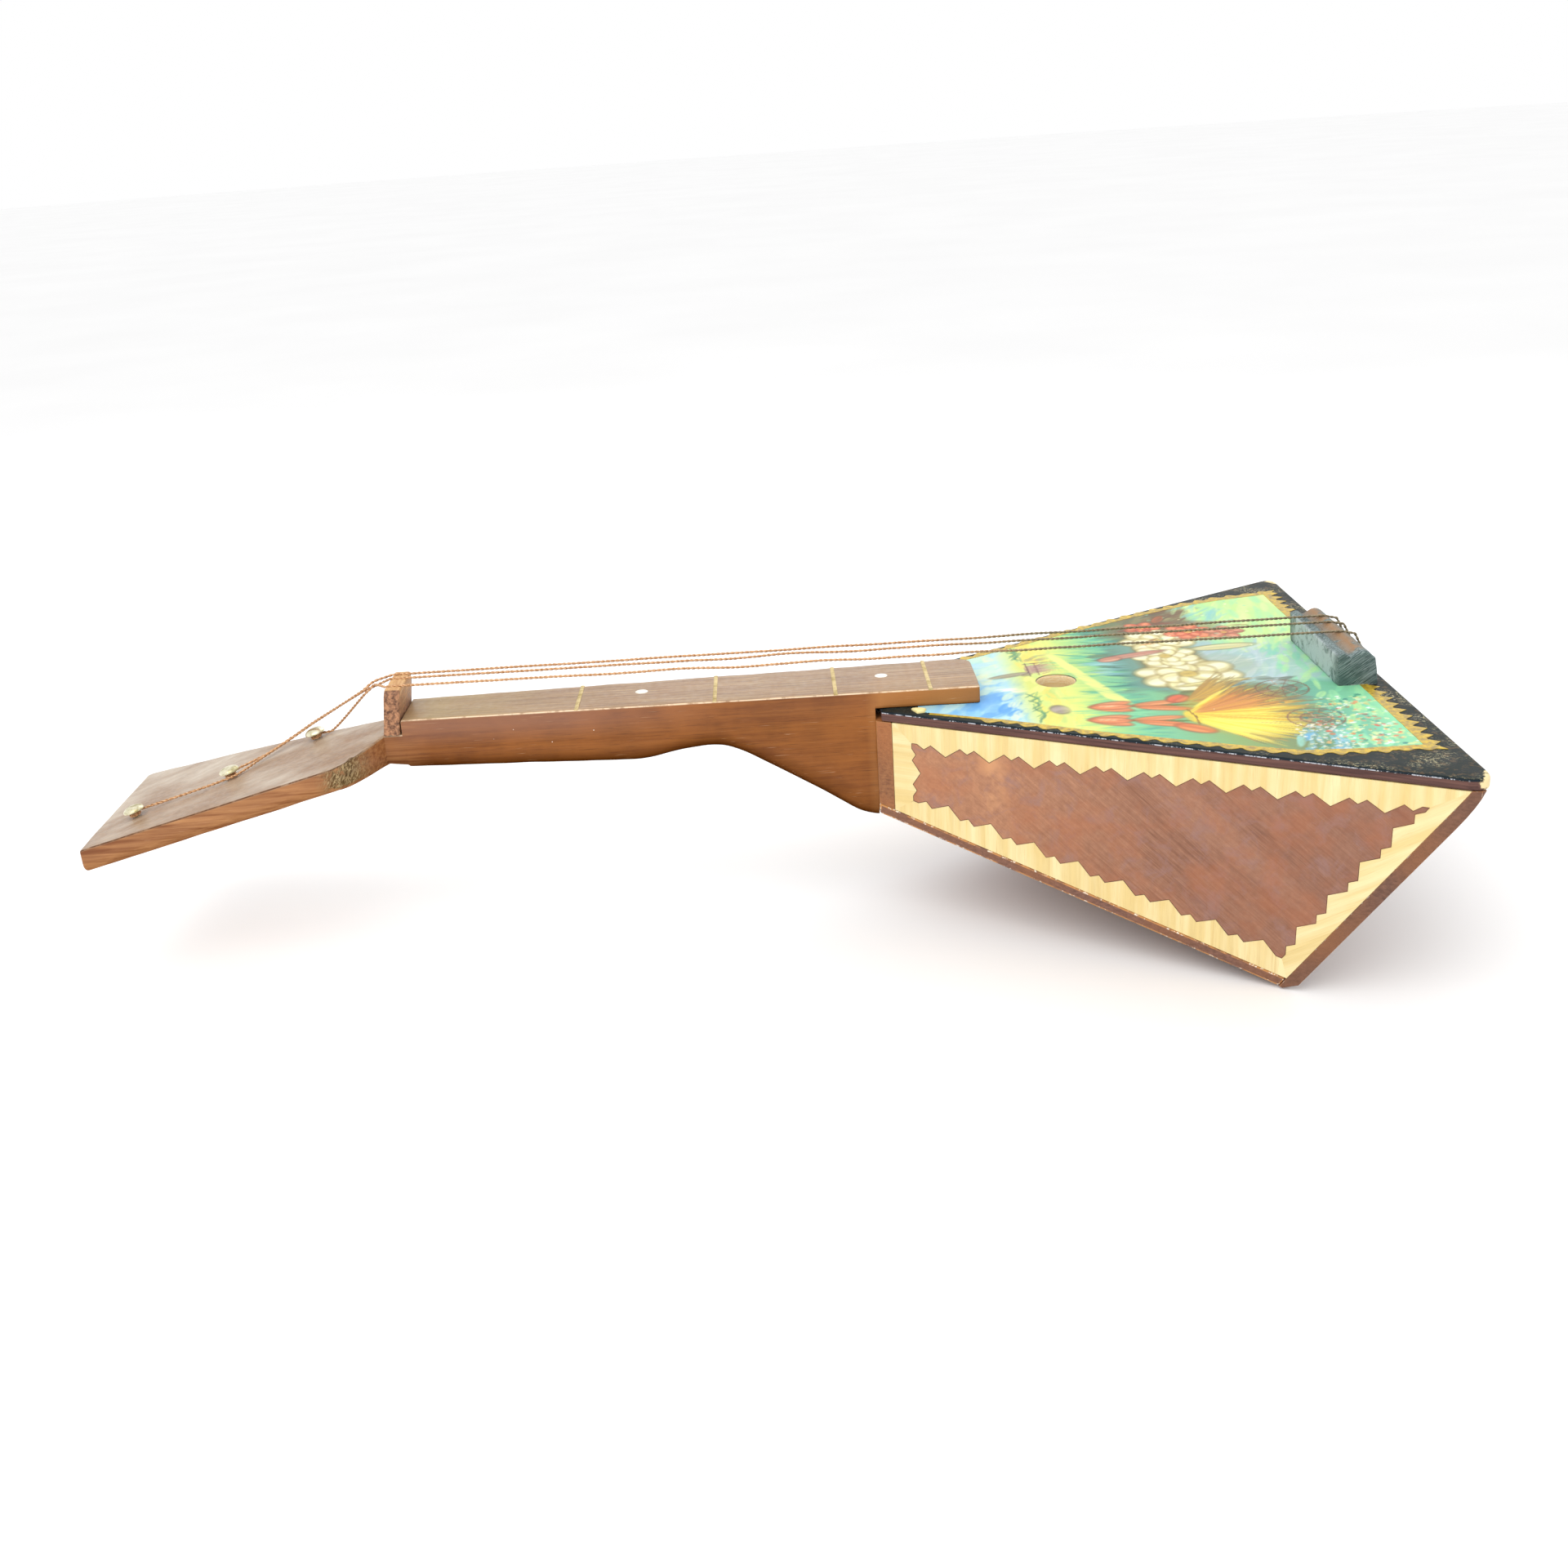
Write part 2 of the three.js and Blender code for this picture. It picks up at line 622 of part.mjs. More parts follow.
// A bar across the fingerboard, by half width, half length, and how far it goes down and up.
function fretBar(x, halfAlong, halfAcross, down, up) {
  const low = [x - halfAlong, -halfAcross, FINGERBOARD_Z - down];
  return block(low, [x + halfAlong, halfAcross, FINGERBOARD_Z + up]);
}

function makeFingerboardTrim() {
  FRETS.forEach((x, i) => {
    const bar = fretBar(x, FRET.width / 2, neckHalf(x) - GLUE, FRET.depth, FRET.proud);
    add(`fret_${i + 1}`, "fretMetal", bar);
  });
  DOTS.forEach((x, i) => add(`dot_${i + 1}`, "dot", dotDisc(x, DOT.radius, DOT.depth)));

  const shape = new THREE.Shape();
  const { low, high, top, round } = NUT;
  shape.moveTo(low, SEAT_Z + GLUE);
  shape.lineTo(high, SEAT_Z + GLUE);
  shape.lineTo(high, top - round);
  shape.quadraticCurveTo(high, top, high - round, top);
  shape.lineTo(low + round, top);
  shape.quadraticCurveTo(low, top, low, top - round);
  shape.closePath();
  const nut = new THREE.ExtrudeGeometry(shape, { depth: NUT.thickness, bevelEnabled: false, curveSegments: 5 });
  nut.rotateX(Math.PI / 2).rotateZ(Math.PI / 2).translate(0, 0, -SEAT_Z);
  const leaning = new THREE.Matrix4().makeShear(0, 0, 0, 0, NUT.lean / (top - SEAT_Z), 0);
  nut.applyMatrix4(leaning).translate(HEAD_START + GLUE, 0, SEAT_Z);
  add("nut", "nutWood", nut);
}

// The bridge block: upright front, a shallow groove along its top, and a humped back edge.
function makeBridge() {
  const { front, back, peak, top } = BRIDGE;
  const profile = [
    [front + 0.9, GLUE],
    [back, GLUE],
    [back - 1.3, top - 2.6],
    [peak + 2.1, top - 0.8],
    [peak, top],
    [peak - 2.1, top - 0.8],
    [peak - 3.8, top - 2],
    [peak - 5.4, top - 0.8],
    [front, top - 1.1],
  ];
  const low = BRIDGE.y - BRIDGE.length / 2;
  add("bridge", "slatePaint", profilePrism(profile, low, low + BRIDGE.length));
}

// ---- Tacks and strings ----

// A round-headed tack standing on a surface at the origin, its shank below z = 0.
function tackGeometry(buried) {
  const { shank, head, under, dome } = TACK;
  const points = [
    [0, -buried],
    [shank, -buried + 1.2],
    [shank, under],
    [head, under],
  ];
  const arcSteps = 6;
  for (let i = 1; i <= arcSteps; i += 1) {
    const angle = (i / arcSteps) * (Math.PI / 2);
    points.push([i < arcSteps ? head * Math.cos(angle) : 0, under + dome * Math.sin(angle)]);
  }
  return new THREE.LatheGeometry(points.map(([r, z]) => new THREE.Vector2(r, z)), 20).rotateX(Math.PI / 2);
}

function tackHoleGeometry(buried) {
  const radius = TACK.shank + GLUE;
  const length = buried + GLUE + 5;
  const hole = new THREE.CylinderGeometry(radius, radius, length, 12);
  return hole.rotateX(Math.PI / 2).translate(0, 0, length / 2 - buried - GLUE);
}

// A place on the head's top face: the matrix there, and the hole that the tack needs.
function headTackPlace({ along, y }) {
  const x = HEAD_END + along * Math.cos(HEAD_TILT);
  const matrix = new THREE.Matrix4().makeRotationY(-HEAD_TILT);
  matrix.setPosition(x, y, headTop(x));
  return { matrix, hole: tackHoleGeometry(TACK.buried).applyMatrix4(matrix) };
}

// The same on the tail plate's outer face, straight below where the string leaves the bridge.
function tailTackPlace({ bridge }) {
  const matrix = new THREE.Matrix4().makeRotationY(Math.PI / 2 + TAIL_ANGLE);
  matrix.setPosition(tailOuter(-TAIL_TACK_DROP), bridge, -TAIL_TACK_DROP);
  return { matrix, hole: tackHoleGeometry(TAIL_TACK_BURIED).applyMatrix4(matrix) };
}

function makeTacks() {
  HEAD_TACKS.forEach((spot, i) => {
    const tack = tackGeometry(TACK.buried).applyMatrix4(headTackPlace(spot).matrix);
    add(`head_tack_${i + 1}`, "brass", tack);
  });
  STRING_LINES.forEach((line, i) => {
    const tack = tackGeometry(TAIL_TACK_BURIED).applyMatrix4(tailTackPlace(line).matrix);
    add(`tail_tack_${i + 1}`, "brass", tack);
  });
}

const LOOP_RADIUS = TACK.shank + CLEAR + STRING_RADIUS;
const LOOP_HEIGHT = 0.95;

// A point beside a tack, given in the tack's own directions.
const beside = (place, x, y, z = LOOP_HEIGHT) => new THREE.Vector3(x, y, z).applyMatrix4(place.matrix);

// A length of string from one point to the next.
function strand(from, to) {
  const run = to.clone().sub(from);
  const rod = new THREE.CylinderGeometry(STRING_RADIUS, STRING_RADIUS, run.length(), STRING_SIDES);
  const turn = new THREE.Quaternion().setFromUnitVectors(new THREE.Vector3(0, 1, 0), run.clone().normalize());
  return rod.applyQuaternion(turn).translate(...from.clone().add(to).multiplyScalar(0.5).toArray());
}

// A whole string: straight strands, a small ball at each bend, and a loop on each end tack.
function stringBody(points, places) {
  const pieces = places.map((place) => {
    const loop = new THREE.TorusGeometry(LOOP_RADIUS, STRING_RADIUS, STRING_SIDES, 14);
    return loop.translate(0, 0, LOOP_HEIGHT).applyMatrix4(place.matrix);
  });
  points.slice(1).forEach((point, i) => {
    pieces.push(strand(points[i], point));
    const bend = new THREE.IcosahedronGeometry(STRING_RADIUS, 0);
    pieces.push(bend.translate(...point.toArray()));
  });
  return pieces.map(solid).reduce((whole, piece) => whole.add(piece));
}

// A point over the head, by distance up from its end, across, and height above its face.
function overHead(along, y, height) {
  const x = HEAD_END + along * Math.cos(HEAD_TILT);
  return new THREE.Vector3(
    x - height * Math.sin(HEAD_TILT),
    y,
    headTop(x) + height * Math.cos(HEAD_TILT),
  );
}

function makeStrings() {
  const lift = STRING_RADIUS + CLEAR;
  const nutTop = HEAD_START + NUT.lean;
  const heads = HEAD_TACKS.map(headTackPlace);
  // Over the head the second and third strings run side by side in one loose strand.
  const overTack = (shift) => [
    overHead(71.5, 12.5 + shift, 5.4),
    overHead(62.6, 13 + shift, 2.6),
    overHead(54, 6 + shift, 1.3),
  ];
  const headRoutes = [
    [beside(heads[0], 5.6, 0.6), beside(heads[0], LOOP_RADIUS, 0)],
    [...overTack(0), beside(heads[1], 0.4, LOOP_RADIUS)],
    [...overTack(-1.3), beside(heads[1], 1.5, -3.2), beside(heads[2], 0.4, LOOP_RADIUS)],
  ];
  STRING_LINES.forEach((line, i) => {
    const tail = tailTackPlace(line);
    const turn = Math.PI + (2 * Math.PI * i) / 3;
    const inBundle = (x, z, angle) =>
      new THREE.Vector3(x, BUNDLE.y + BUNDLE.radius * Math.cos(angle), z + BUNDLE.radius * Math.sin(angle));
    const points = [
      ...headRoutes[i].slice().reverse(),
      inBundle(BUNDLE.end, BUNDLE.endZ, turn + 1.2),
      inBundle(BUNDLE.start, BUNDLE.startZ, turn),
      new THREE.Vector3(nutTop - 0.3, line.nut, NUT.top + lift),
      new THREE.Vector3(nutTop + NUT.thickness + 0.3, line.nut, NUT.top + lift),
      new THREE.Vector3(BRIDGE.peak, line.bridge, BRIDGE.top + lift),
      new THREE.Vector3(BRIDGE.back - 0.9, line.bridge, BRIDGE.top - 1.1),
      new THREE.Vector3(BODY_LENGTH + lift, line.bridge, STRING_RADIUS),
      new THREE.Vector3(BODY_LENGTH + lift, line.bridge, -PLATE - STRING_RADIUS),
      beside(tail, -LOOP_RADIUS, 0),
    ];
    add(`string_${i + 1}`, "string", geometryOf(stringBody(points, [heads[i], tail])));
  });
}

makePlates();
makeSides();
makeInnerFrame();
makeScrew();
makeNeck();
makeFingerboardTrim();
makeBridge();
makeTacks();
makeStrings();

// The part's origin is under the middle of its box, at its lowest point.
const box = new THREE.Box3().setFromObject(model);
const centre = box.getCenter(new THREE.Vector3());
model.position.set(-centre.x, -centre.y, -box.min.z);

const balalaika = new THREE.Group();
balalaika.add(model);

export default balalaika;
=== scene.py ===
"""A small three-string balalaika: painted soundboard, inlaid sides, one-piece neck and wire strings."""

import math
import random

import bmesh
import bpy
import numpy as np
from bpy.props import (
    FloatProperty,
    FloatVectorProperty,
    IntProperty,
    PointerProperty,
)
from mathutils import Matrix, Vector, noise


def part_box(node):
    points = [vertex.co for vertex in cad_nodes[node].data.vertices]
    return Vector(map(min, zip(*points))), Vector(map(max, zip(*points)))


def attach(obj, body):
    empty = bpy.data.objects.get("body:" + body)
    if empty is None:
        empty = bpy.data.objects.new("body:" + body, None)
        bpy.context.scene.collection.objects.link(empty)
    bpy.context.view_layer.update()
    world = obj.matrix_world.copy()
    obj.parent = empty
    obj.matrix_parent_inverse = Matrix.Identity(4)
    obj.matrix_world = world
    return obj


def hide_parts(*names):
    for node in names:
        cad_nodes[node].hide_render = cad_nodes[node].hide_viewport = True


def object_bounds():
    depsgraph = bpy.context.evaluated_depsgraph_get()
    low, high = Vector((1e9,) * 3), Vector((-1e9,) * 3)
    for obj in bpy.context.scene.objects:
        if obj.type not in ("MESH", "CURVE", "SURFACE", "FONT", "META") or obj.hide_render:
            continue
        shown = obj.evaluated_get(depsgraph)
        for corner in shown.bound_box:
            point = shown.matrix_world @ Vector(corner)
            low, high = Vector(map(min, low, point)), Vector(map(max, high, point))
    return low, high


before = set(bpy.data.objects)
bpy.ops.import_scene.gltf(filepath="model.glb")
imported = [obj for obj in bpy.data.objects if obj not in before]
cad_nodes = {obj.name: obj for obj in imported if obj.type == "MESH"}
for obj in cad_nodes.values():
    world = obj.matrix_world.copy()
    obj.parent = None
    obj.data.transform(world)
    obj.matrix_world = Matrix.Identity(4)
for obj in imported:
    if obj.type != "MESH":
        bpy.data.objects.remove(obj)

bl_info = {
    "name": "Balalaika",
    "version": (1, 0, 0),
    "blender": (4, 5, 0),
    "location": "3D View > Sidebar > Balalaika",
    "description": "Builds a small balalaika with a painted soundboard around its solid frame",
    "category": "Add Mesh",
}

CAD_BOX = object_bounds()

# Sizes below are in millimetres from one point: x runs from the body's front edge to the tail,
# y across to the far side, and z up from the top of the soundboard.
MM = 0.001
BOARD_FRONT = -3.0  # the soundboard starts this far before the point
BOARD_LOW, BOARD_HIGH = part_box("soundboard")
CENTRE_Y = sum(corner.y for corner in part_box("fret_4")) / 2
ORIGIN = Vector((BOARD_LOW.x - BOARD_FRONT * MM, CENTRE_Y, BOARD_HIGH.z))

BODY_LENGTH = 158.8
FRONT_HALF, TAIL_HALF = 18.2, 106.0
SIDE_ANGLE = math.atan2(TAIL_HALF - FRONT_HALF, BODY_LENGTH)
SIDE_NAMES = ("near", "far")
PLATE = 3.5
TAIL_LEAN = 0.6
CORNER_CUT = {"near": 10.5, "far": 7.5}
SOUND_HOLE = Vector((56.5, 2.0))
SOUND_HOLE_RADIUS = 6.2
RING_RADIUS, RING_TOP, RING_BOTTOM = 10.5, -2.75, -6.2

HEAD_TILT = math.radians(13.9)
NUT_X, HEAD_START, HEAD_END = -158.8, -165.0, -262.0
SEAT_Z, FINGERBOARD_Z = 0.8, 5.85
TONGUE_END, HEEL_BACK = 29.2, -4.9
NUT_TOP = 16.2
NUT_LEAN = 2.1
BRIDGE_Y = (-21.45, 28.05)
BRIDGE_PEAK = (149.8, 11.3)
FRETS = (-101.5, -56.5, -17.3, 13.3)
DOTS = (-81.0, -1.5)
DOT_Y = 2.0
HEAD_TACKS = ((71.0, 11.0), (44.0, -3.5), (13.5, -14.5))  # up from the head's end, and across
TAIL_TACK_DROP = 17.0
STRING_LINES = ((-6.7, -0.2), (1.2, 10.7), (5.6, 17.8))  # y at the nut and at the bridge


def half_width(x):
    return FRONT_HALF + math.tan(SIDE_ANGLE) * x


def head_top(x):
    return SEAT_Z + (x - HEAD_START) * math.tan(HEAD_TILT)


# ---- Colours ----


def linear(value):
    """One sRGB channel, 0 to 1, as linear light."""
    return value / 12.92 if value <= 0.04045 else ((value + 0.055) / 1.055) ** 2.4


def srgb(text):
    """The sRGB numbers of a colour such as "8a5530"."""
    return [int(text[i : i + 2], 16) / 255 for i in (0, 2, 4)]


def colour(text):
    """A colour such as "8a5530" as linear RGBA."""
    return [linear(value) for value in srgb(text)] + [1.0]


# ---- Meshes ----


def placed(points):
    """Millimetre points as points in the frame, in metres."""
    return np.asarray(points, float) * MM + np.array(ORIGIN)


def mesh_of(name, points, faces, edges=()):
    mesh = bpy.data.meshes.new(name)
    mesh.from_pydata(placed(points).tolist(), list(edges), faces)
    mesh.update()
    return mesh


def outward(mesh):
    """Merges what touches and turns every face of a closed mesh outwards."""
    work = bmesh.new()
    work.from_mesh(mesh)
    bmesh.ops.remove_doubles(work, verts=work.verts, dist=1e-7)
    bmesh.ops.recalc_face_normals(work, faces=work.faces)
    work.to_mesh(mesh)
    work.free()


def softly_shaded(mesh, angle=35):
    mesh.shade_smooth()
    mesh.set_sharp_from_angle(angle=math.radians(angle))


def linked(name, mesh):
    piece = bpy.data.objects.new(name, mesh)
    bpy.context.scene.collection.objects.link(piece)
    return piece


def finished(piece, nodes, material=None):
    """Gives a piece its material, its body and the nodes it stands for."""
    if material is not None:
        piece.data.materials.clear()
        piece.data.materials.append(material)
    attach(piece, "root")
    if nodes:
        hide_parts(*nodes)
    return piece


def put_attribute(mesh, name, values, kind="FLOAT"):
    """Stores one value, or one colour or vector, for each vertex."""
    made = mesh.attributes.new(name, kind, "POINT")
    key = {"FLOAT": "value", "FLOAT_VECTOR": "vector", "FLOAT_COLOR": "color"}[kind]
    made.data.foreach_set(key, np.asarray(values, np.float32).ravel())


def loft(rings):
    """Points and faces of a closed solid through rings with equal counts of points."""
    count = len(rings[0])
    points = [point for ring in rings for point in ring]
    faces = []
    for i in range(len(rings) - 1):
        for j in range(count):
            a, b = i * count + j, i * count + (j + 1) % count
            faces.append((a, b, b + count, a + count))
    faces.append(tuple(reversed(range(count))))
    last = (len(rings) - 1) * count
    faces.append(tuple(range(last, last + count)))
    return points, faces


def roughened(mesh, size, height, seed=0.0):
    """Moves each vertex along its normal by smooth noise, as a hand tool leaves a surface."""
    shift = Vector((seed, seed, seed))
    moved = []
    for vertex in mesh.vertices:
        lift = noise.noise(vertex.co / (size * MM) + shift) * height * MM
        moved.append(vertex.co + vertex.normal * lift)
    mesh.vertices.foreach_set("co", np.array(moved, np.float32).ravel())
    mesh.update()


def softened(node, name, width, segments=3):
    """A copy of a solid node with its edges rounded over."""
    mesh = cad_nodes[node].data.copy()
    mesh.name = name
    work = bmesh.new()
    work.from_mesh(mesh)
    arris = work.verts.layers.float.new("arris")
    bmesh.ops.remove_doubles(work, verts=work.verts, dist=2e-6)
    bmesh.ops.dissolve_limit(
        work, angle_limit=math.radians(2), verts=work.verts, edges=work.edges
    )
    sharp = [
        e for e in work.edges if len(e.link_faces) == 2 and e.calc_face_angle(0) > 0.35
    ]
    made = bmesh.ops.bevel(
        work,
        geom=sharp,
        offset=width * MM,
        segments=segments,
        profile=0.5,
        affect="EDGES",
        clamp_overlap=True,
    )
    rounded = set(made["faces"])
    for vertex in made["verts"]:
        vertex[arris] = float(all(face in rounded for face in vertex.link_faces))
    work.to_mesh(mesh)
    work.free()
    mesh.materials.clear()
    softly_shaded(mesh, 40)
    return linked(name, mesh)


# ---- Node trees ----


def node(tree, kind, inputs=None, **settings):
    """Adds a node, sets it up, and feeds each input a value or another node's output."""
    made = tree.nodes.new(kind)
    for key, value in settings.items():
        setattr(made, key, value)
    for key, value in (inputs or {}).items():
        if isinstance(value, bpy.types.NodeSocket):
            tree.links.new(value, made.inputs[key])
        else:
            made.inputs[key].default_value = value
    return made


def maths(tree, operation, a, b=0.0, c=0.0):
    made = node(tree, "ShaderNodeMath", {0: a, 1: b, 2: c}, operation=operation)
    made.use_clamp = operation in ("MULTIPLY", "SUBTRACT", "ADD", "MULTIPLY_ADD")
    return made.outputs[0]


def free_maths(tree, operation, a, b=0.0, c=0.0):
    """Maths whose result may leave 0 to 1."""
    return node(
        tree, "ShaderNodeMath", {0: a, 1: b, 2: c}, operation=operation
    ).outputs[0]


def remap(tree, value, low, high, to_low=0.0, to_high=1.0):
    inputs = {
        "Value": value,
        "From Min": low,
        "From Max": high,
        "To Min": to_low,
        "To Max": to_high,
    }
    return node(tree, "ShaderNodeMapRange", inputs).outputs[0]


def blend(tree, factor, a, b, mode="MIX"):
    made = node(tree, "ShaderNodeMix", data_type="RGBA", blend_type=mode)
    for index, value in ((0, factor), (6, a), (7, b)):
        if isinstance(value, bpy.types.NodeSocket):
            tree.links.new(value, made.inputs[index])
        else:
            made.inputs[index].default_value = value
    return made.outputs[2]


def vector_maths(tree, operation, a, b=(0, 0, 0), output=0, **more):
    inputs = {0: a, 1: b}
    inputs.update(more)
    return node(tree, "ShaderNodeVectorMath", inputs, operation=operation).outputs[
        output
    ]


def scaled(tree, vector, factor):
    made = node(tree, "ShaderNodeVectorMath", {0: vector}, operation="SCALE")
    if isinstance(factor, bpy.types.NodeSocket):
        tree.links.new(factor, made.inputs["Scale"])
    else:
        made.inputs["Scale"].default_value = factor
    return made.outputs[0]


def noise_value(tree, vector, scale=1.0, detail=3.0, roughness=0.5, distortion=0.0):
    inputs = {
        "Vector": vector,
        "Scale": scale,
        "Detail": detail,
        "Roughness": roughness,
        "Distortion": distortion,
    }
    return node(tree, "ShaderNodeTexNoise", inputs).outputs["Fac"]


def new_group(name, kind, inputs, outputs):
    """An empty node group with named sockets: (tree, its input node, its output node)."""
    tree = bpy.data.node_groups.new(name, kind)
    for title, socket, default in inputs:
        made = tree.interface.new_socket(title, in_out="INPUT", socket_type=socket)
        if default is not None:
            made.default_value = default
    for title, socket in outputs:
        tree.interface.new_socket(title, in_out="OUTPUT", socket_type=socket)
    entry, leave = (
        tree.nodes.new("NodeGroupInput"),
        tree.nodes.new("NodeGroupOutput"),
    )
    return tree, entry.outputs, leave.inputs


NUMBER, VECTOR = "NodeSocketFloat", "NodeSocketVector"


def millimetres_group():
    """Object coordinates as millimetres from the instrument's own point, and along its sides."""
    tree, entry, leave = new_group(
        "Instrument millimetres",
        "ShaderNodeTree",
        [],
        [("Vector", VECTOR), ("Side Vector", VECTOR)],
    )
    place = node(tree, "ShaderNodeTexCoord").outputs["Object"]
    centred = scaled(tree, vector_maths(tree, "SUBTRACT", place, tuple(ORIGIN)), 1000.0)
    tree.links.new(centred, leave["Vector"])
    parts = node(tree, "ShaderNodeSeparateXYZ", {0: centred})
    across = free_maths(tree, "ABSOLUTE", parts.outputs[1])
    folded = node(
        tree,
        "ShaderNodeCombineXYZ",
        {0: parts.outputs[0], 1: across, 2: parts.outputs[2]},
    ).outputs[0]
    turned = node(
        tree,
        "ShaderNodeMapping",
        {"Vector": folded, "Rotation": (0, 0, -SIDE_ANGLE)},
    ).outputs[0]
    tree.links.new(turned, leave["Side Vector"])
    return tree


def grain_group():
    """Wood grain that runs along the vector's x: broad streaks and fine dark pores."""
    tree, entry, leave = new_group(
        "Wood grain",
        "ShaderNodeTree",
        [
            ("Vector", VECTOR, None),
            ("Streak Length", NUMBER, 40.0),
            ("Streak Width", NUMBER, 1.5),
            ("Warp", NUMBER, 0.4),
        ],
        [("Streaks", NUMBER), ("Pores", NUMBER), ("Height", NUMBER)],
    )
    size = node(
        tree,
        "ShaderNodeCombineXYZ",
        {
            0: entry["Streak Length"],
            1: entry["Streak Width"],
            2: entry["Streak Width"],
        },
    ).outputs[0]
    along = vector_maths(tree, "DIVIDE", entry["Vector"], size)
    broad = noise_value(tree, along, 1.0, 6.0, 0.62)
    tree.links.new(entry["Warp"], broad.node.inputs["Distortion"])
    streaks = remap(tree, broad, 0.3, 0.7)
    fine = noise_value(tree, along, 4.5, 3.0, 0.55)
    pores = remap(tree, fine, 0.58, 0.72)
    tree.links.new(streaks, leave["Streaks"])
    tree.links.new(pores, leave["Pores"])
    height = free_maths(tree, "MULTIPLY_ADD", pores, -0.8, streaks)
    tree.links.new(height, leave["Height"])
    return tree


def scratches_group():
    """Fine straight scratches that run along the vector's x."""
    tree, entry, leave = new_group(
        "Scratches",
        "ShaderNodeTree",
        [
            ("Vector", VECTOR, None),
            ("Length", NUMBER, 18.0),
            ("Width", NUMBER, 0.25),
            ("Amount", NUMBER, 0.3),
        ],
        [("Mask", NUMBER)],
    )
    size = node(
        tree,
        "ShaderNodeCombineXYZ",
        {0: entry["Length"], 1: entry["Width"], 2: entry["Width"]},
    ).outputs[0]
    lines = noise_value(
        tree, vector_maths(tree, "DIVIDE", entry["Vector"], size), 1.0, 2.0
    )
    low = free_maths(tree, "MULTIPLY_ADD", entry["Amount"], -0.3, 0.78)
    high = free_maths(tree, "ADD", low, 0.06)
    patches = noise_value(tree, entry["Vector"], 0.06, 2.0)
    made = maths(
        tree, "MULTIPLY", remap(tree, lines, low, high), remap(tree, patches, 0.4, 0.6)
    )
    tree.links.new(made, leave["Mask"])
    return tree


def specks_group():
    """Small round specks, in a share of the cells of a loose grid."""
    tree, entry, leave = new_group(
        "Specks",
        "ShaderNodeTree",
        [
            ("Vector", VECTOR, None),
            ("Spacing", NUMBER, 8.0),
            ("Radius", NUMBER, 0.3),
            ("Share", NUMBER, 0.3),
        ],
        [("Mask", NUMBER)],
    )
    scale = free_maths(tree, "DIVIDE", 1.0, entry["Spacing"])
    cells = node(
        tree, "ShaderNodeTexVoronoi", {"Vector": entry["Vector"], "Scale": scale}
    )
    reach = free_maths(tree, "DIVIDE", entry["Radius"], entry["Spacing"])
    inside = node(
        tree,
        "ShaderNodeMapRange",
        {
            "Value": cells.outputs["Distance"],
            "From Min": reach,
            "From Max": free_maths(tree, "MULTIPLY", reach, 0.6),
        },
    ).outputs[0]
    chosen = free_maths(
        tree,
        "LESS_THAN",
        node(
            tree, "ShaderNodeSeparateColor", {0: cells.outputs["Color"]}
        ).outputs[0],
        entry["Share"],
    )
    tree.links.new(maths(tree, "MULTIPLY", inside, chosen), leave["Mask"])
    return tree


def worn_edge_group():
    """Where a sharp edge has lost its finish, broken up by noise."""
    tree, entry, leave = new_group(
        "Worn edge",
        "ShaderNodeTree",
        [
            ("Vector", VECTOR, None),
            ("Reach", NUMBER, 0.6),
            ("Patch", NUMBER, 3.0),
            ("Amount", NUMBER, 0.5),
        ],
        [("Mask", NUMBER)],
    )
    radius = free_maths(tree, "MULTIPLY", entry["Reach"], MM)
    soft = node(tree, "ShaderNodeBevel", {"Radius": radius}, samples=4).outputs[0]
    flat = node(tree, "ShaderNodeNewGeometry").outputs["Normal"]
    near = vector_maths(tree, "DOT_PRODUCT", soft, flat, output=1)
    edge = remap(tree, near, 0.995, 0.9)
    scale = free_maths(tree, "DIVIDE", 1.0, entry["Patch"])
    broken = noise_value(tree, entry["Vector"], 1.0, 4.0, 0.65)
    tree.links.new(scale, broken.node.inputs["Scale"])
    low = free_maths(tree, "MULTIPLY_ADD", entry["Amount"], -0.5, 0.75)
    high = free_maths(tree, "ADD", low, 0.08)
    made = maths(tree, "MULTIPLY", edge, remap(tree, broken, low, high))
    tree.links.new(made, leave["Mask"])
    return tree


GROUPS = {}


def build_groups():
    GROUPS.update(
        millimetres=millimetres_group(),
        grain=grain_group(),
        scratches=scratches_group(),
        specks=specks_group(),
        worn=worn_edge_group(),
    )


def use(tree, name, **inputs):
    """Places a shared group; input names have underscores for spaces."""
    made = node(tree, "ShaderNodeGroup", node_tree=GROUPS[name])
    for key, value in inputs.items():
        title = key.replace("_", " ").title()
        if isinstance(value, bpy.types.NodeSocket):
            tree.links.new(value, made.inputs[title])
        else:
            made.inputs[title].default_value = value
    return made.outputs


def turned(tree, vector, x=0.0, y=0.0, z=0.0):
    """The vector turned so that a direction in the piece becomes its x; degrees."""
    angles = tuple(math.radians(a) for a in (x, y, z))
    return node(
        tree, "ShaderNodeMapping", {"Vector": vector, "Rotation": angles}
    ).outputs[0]


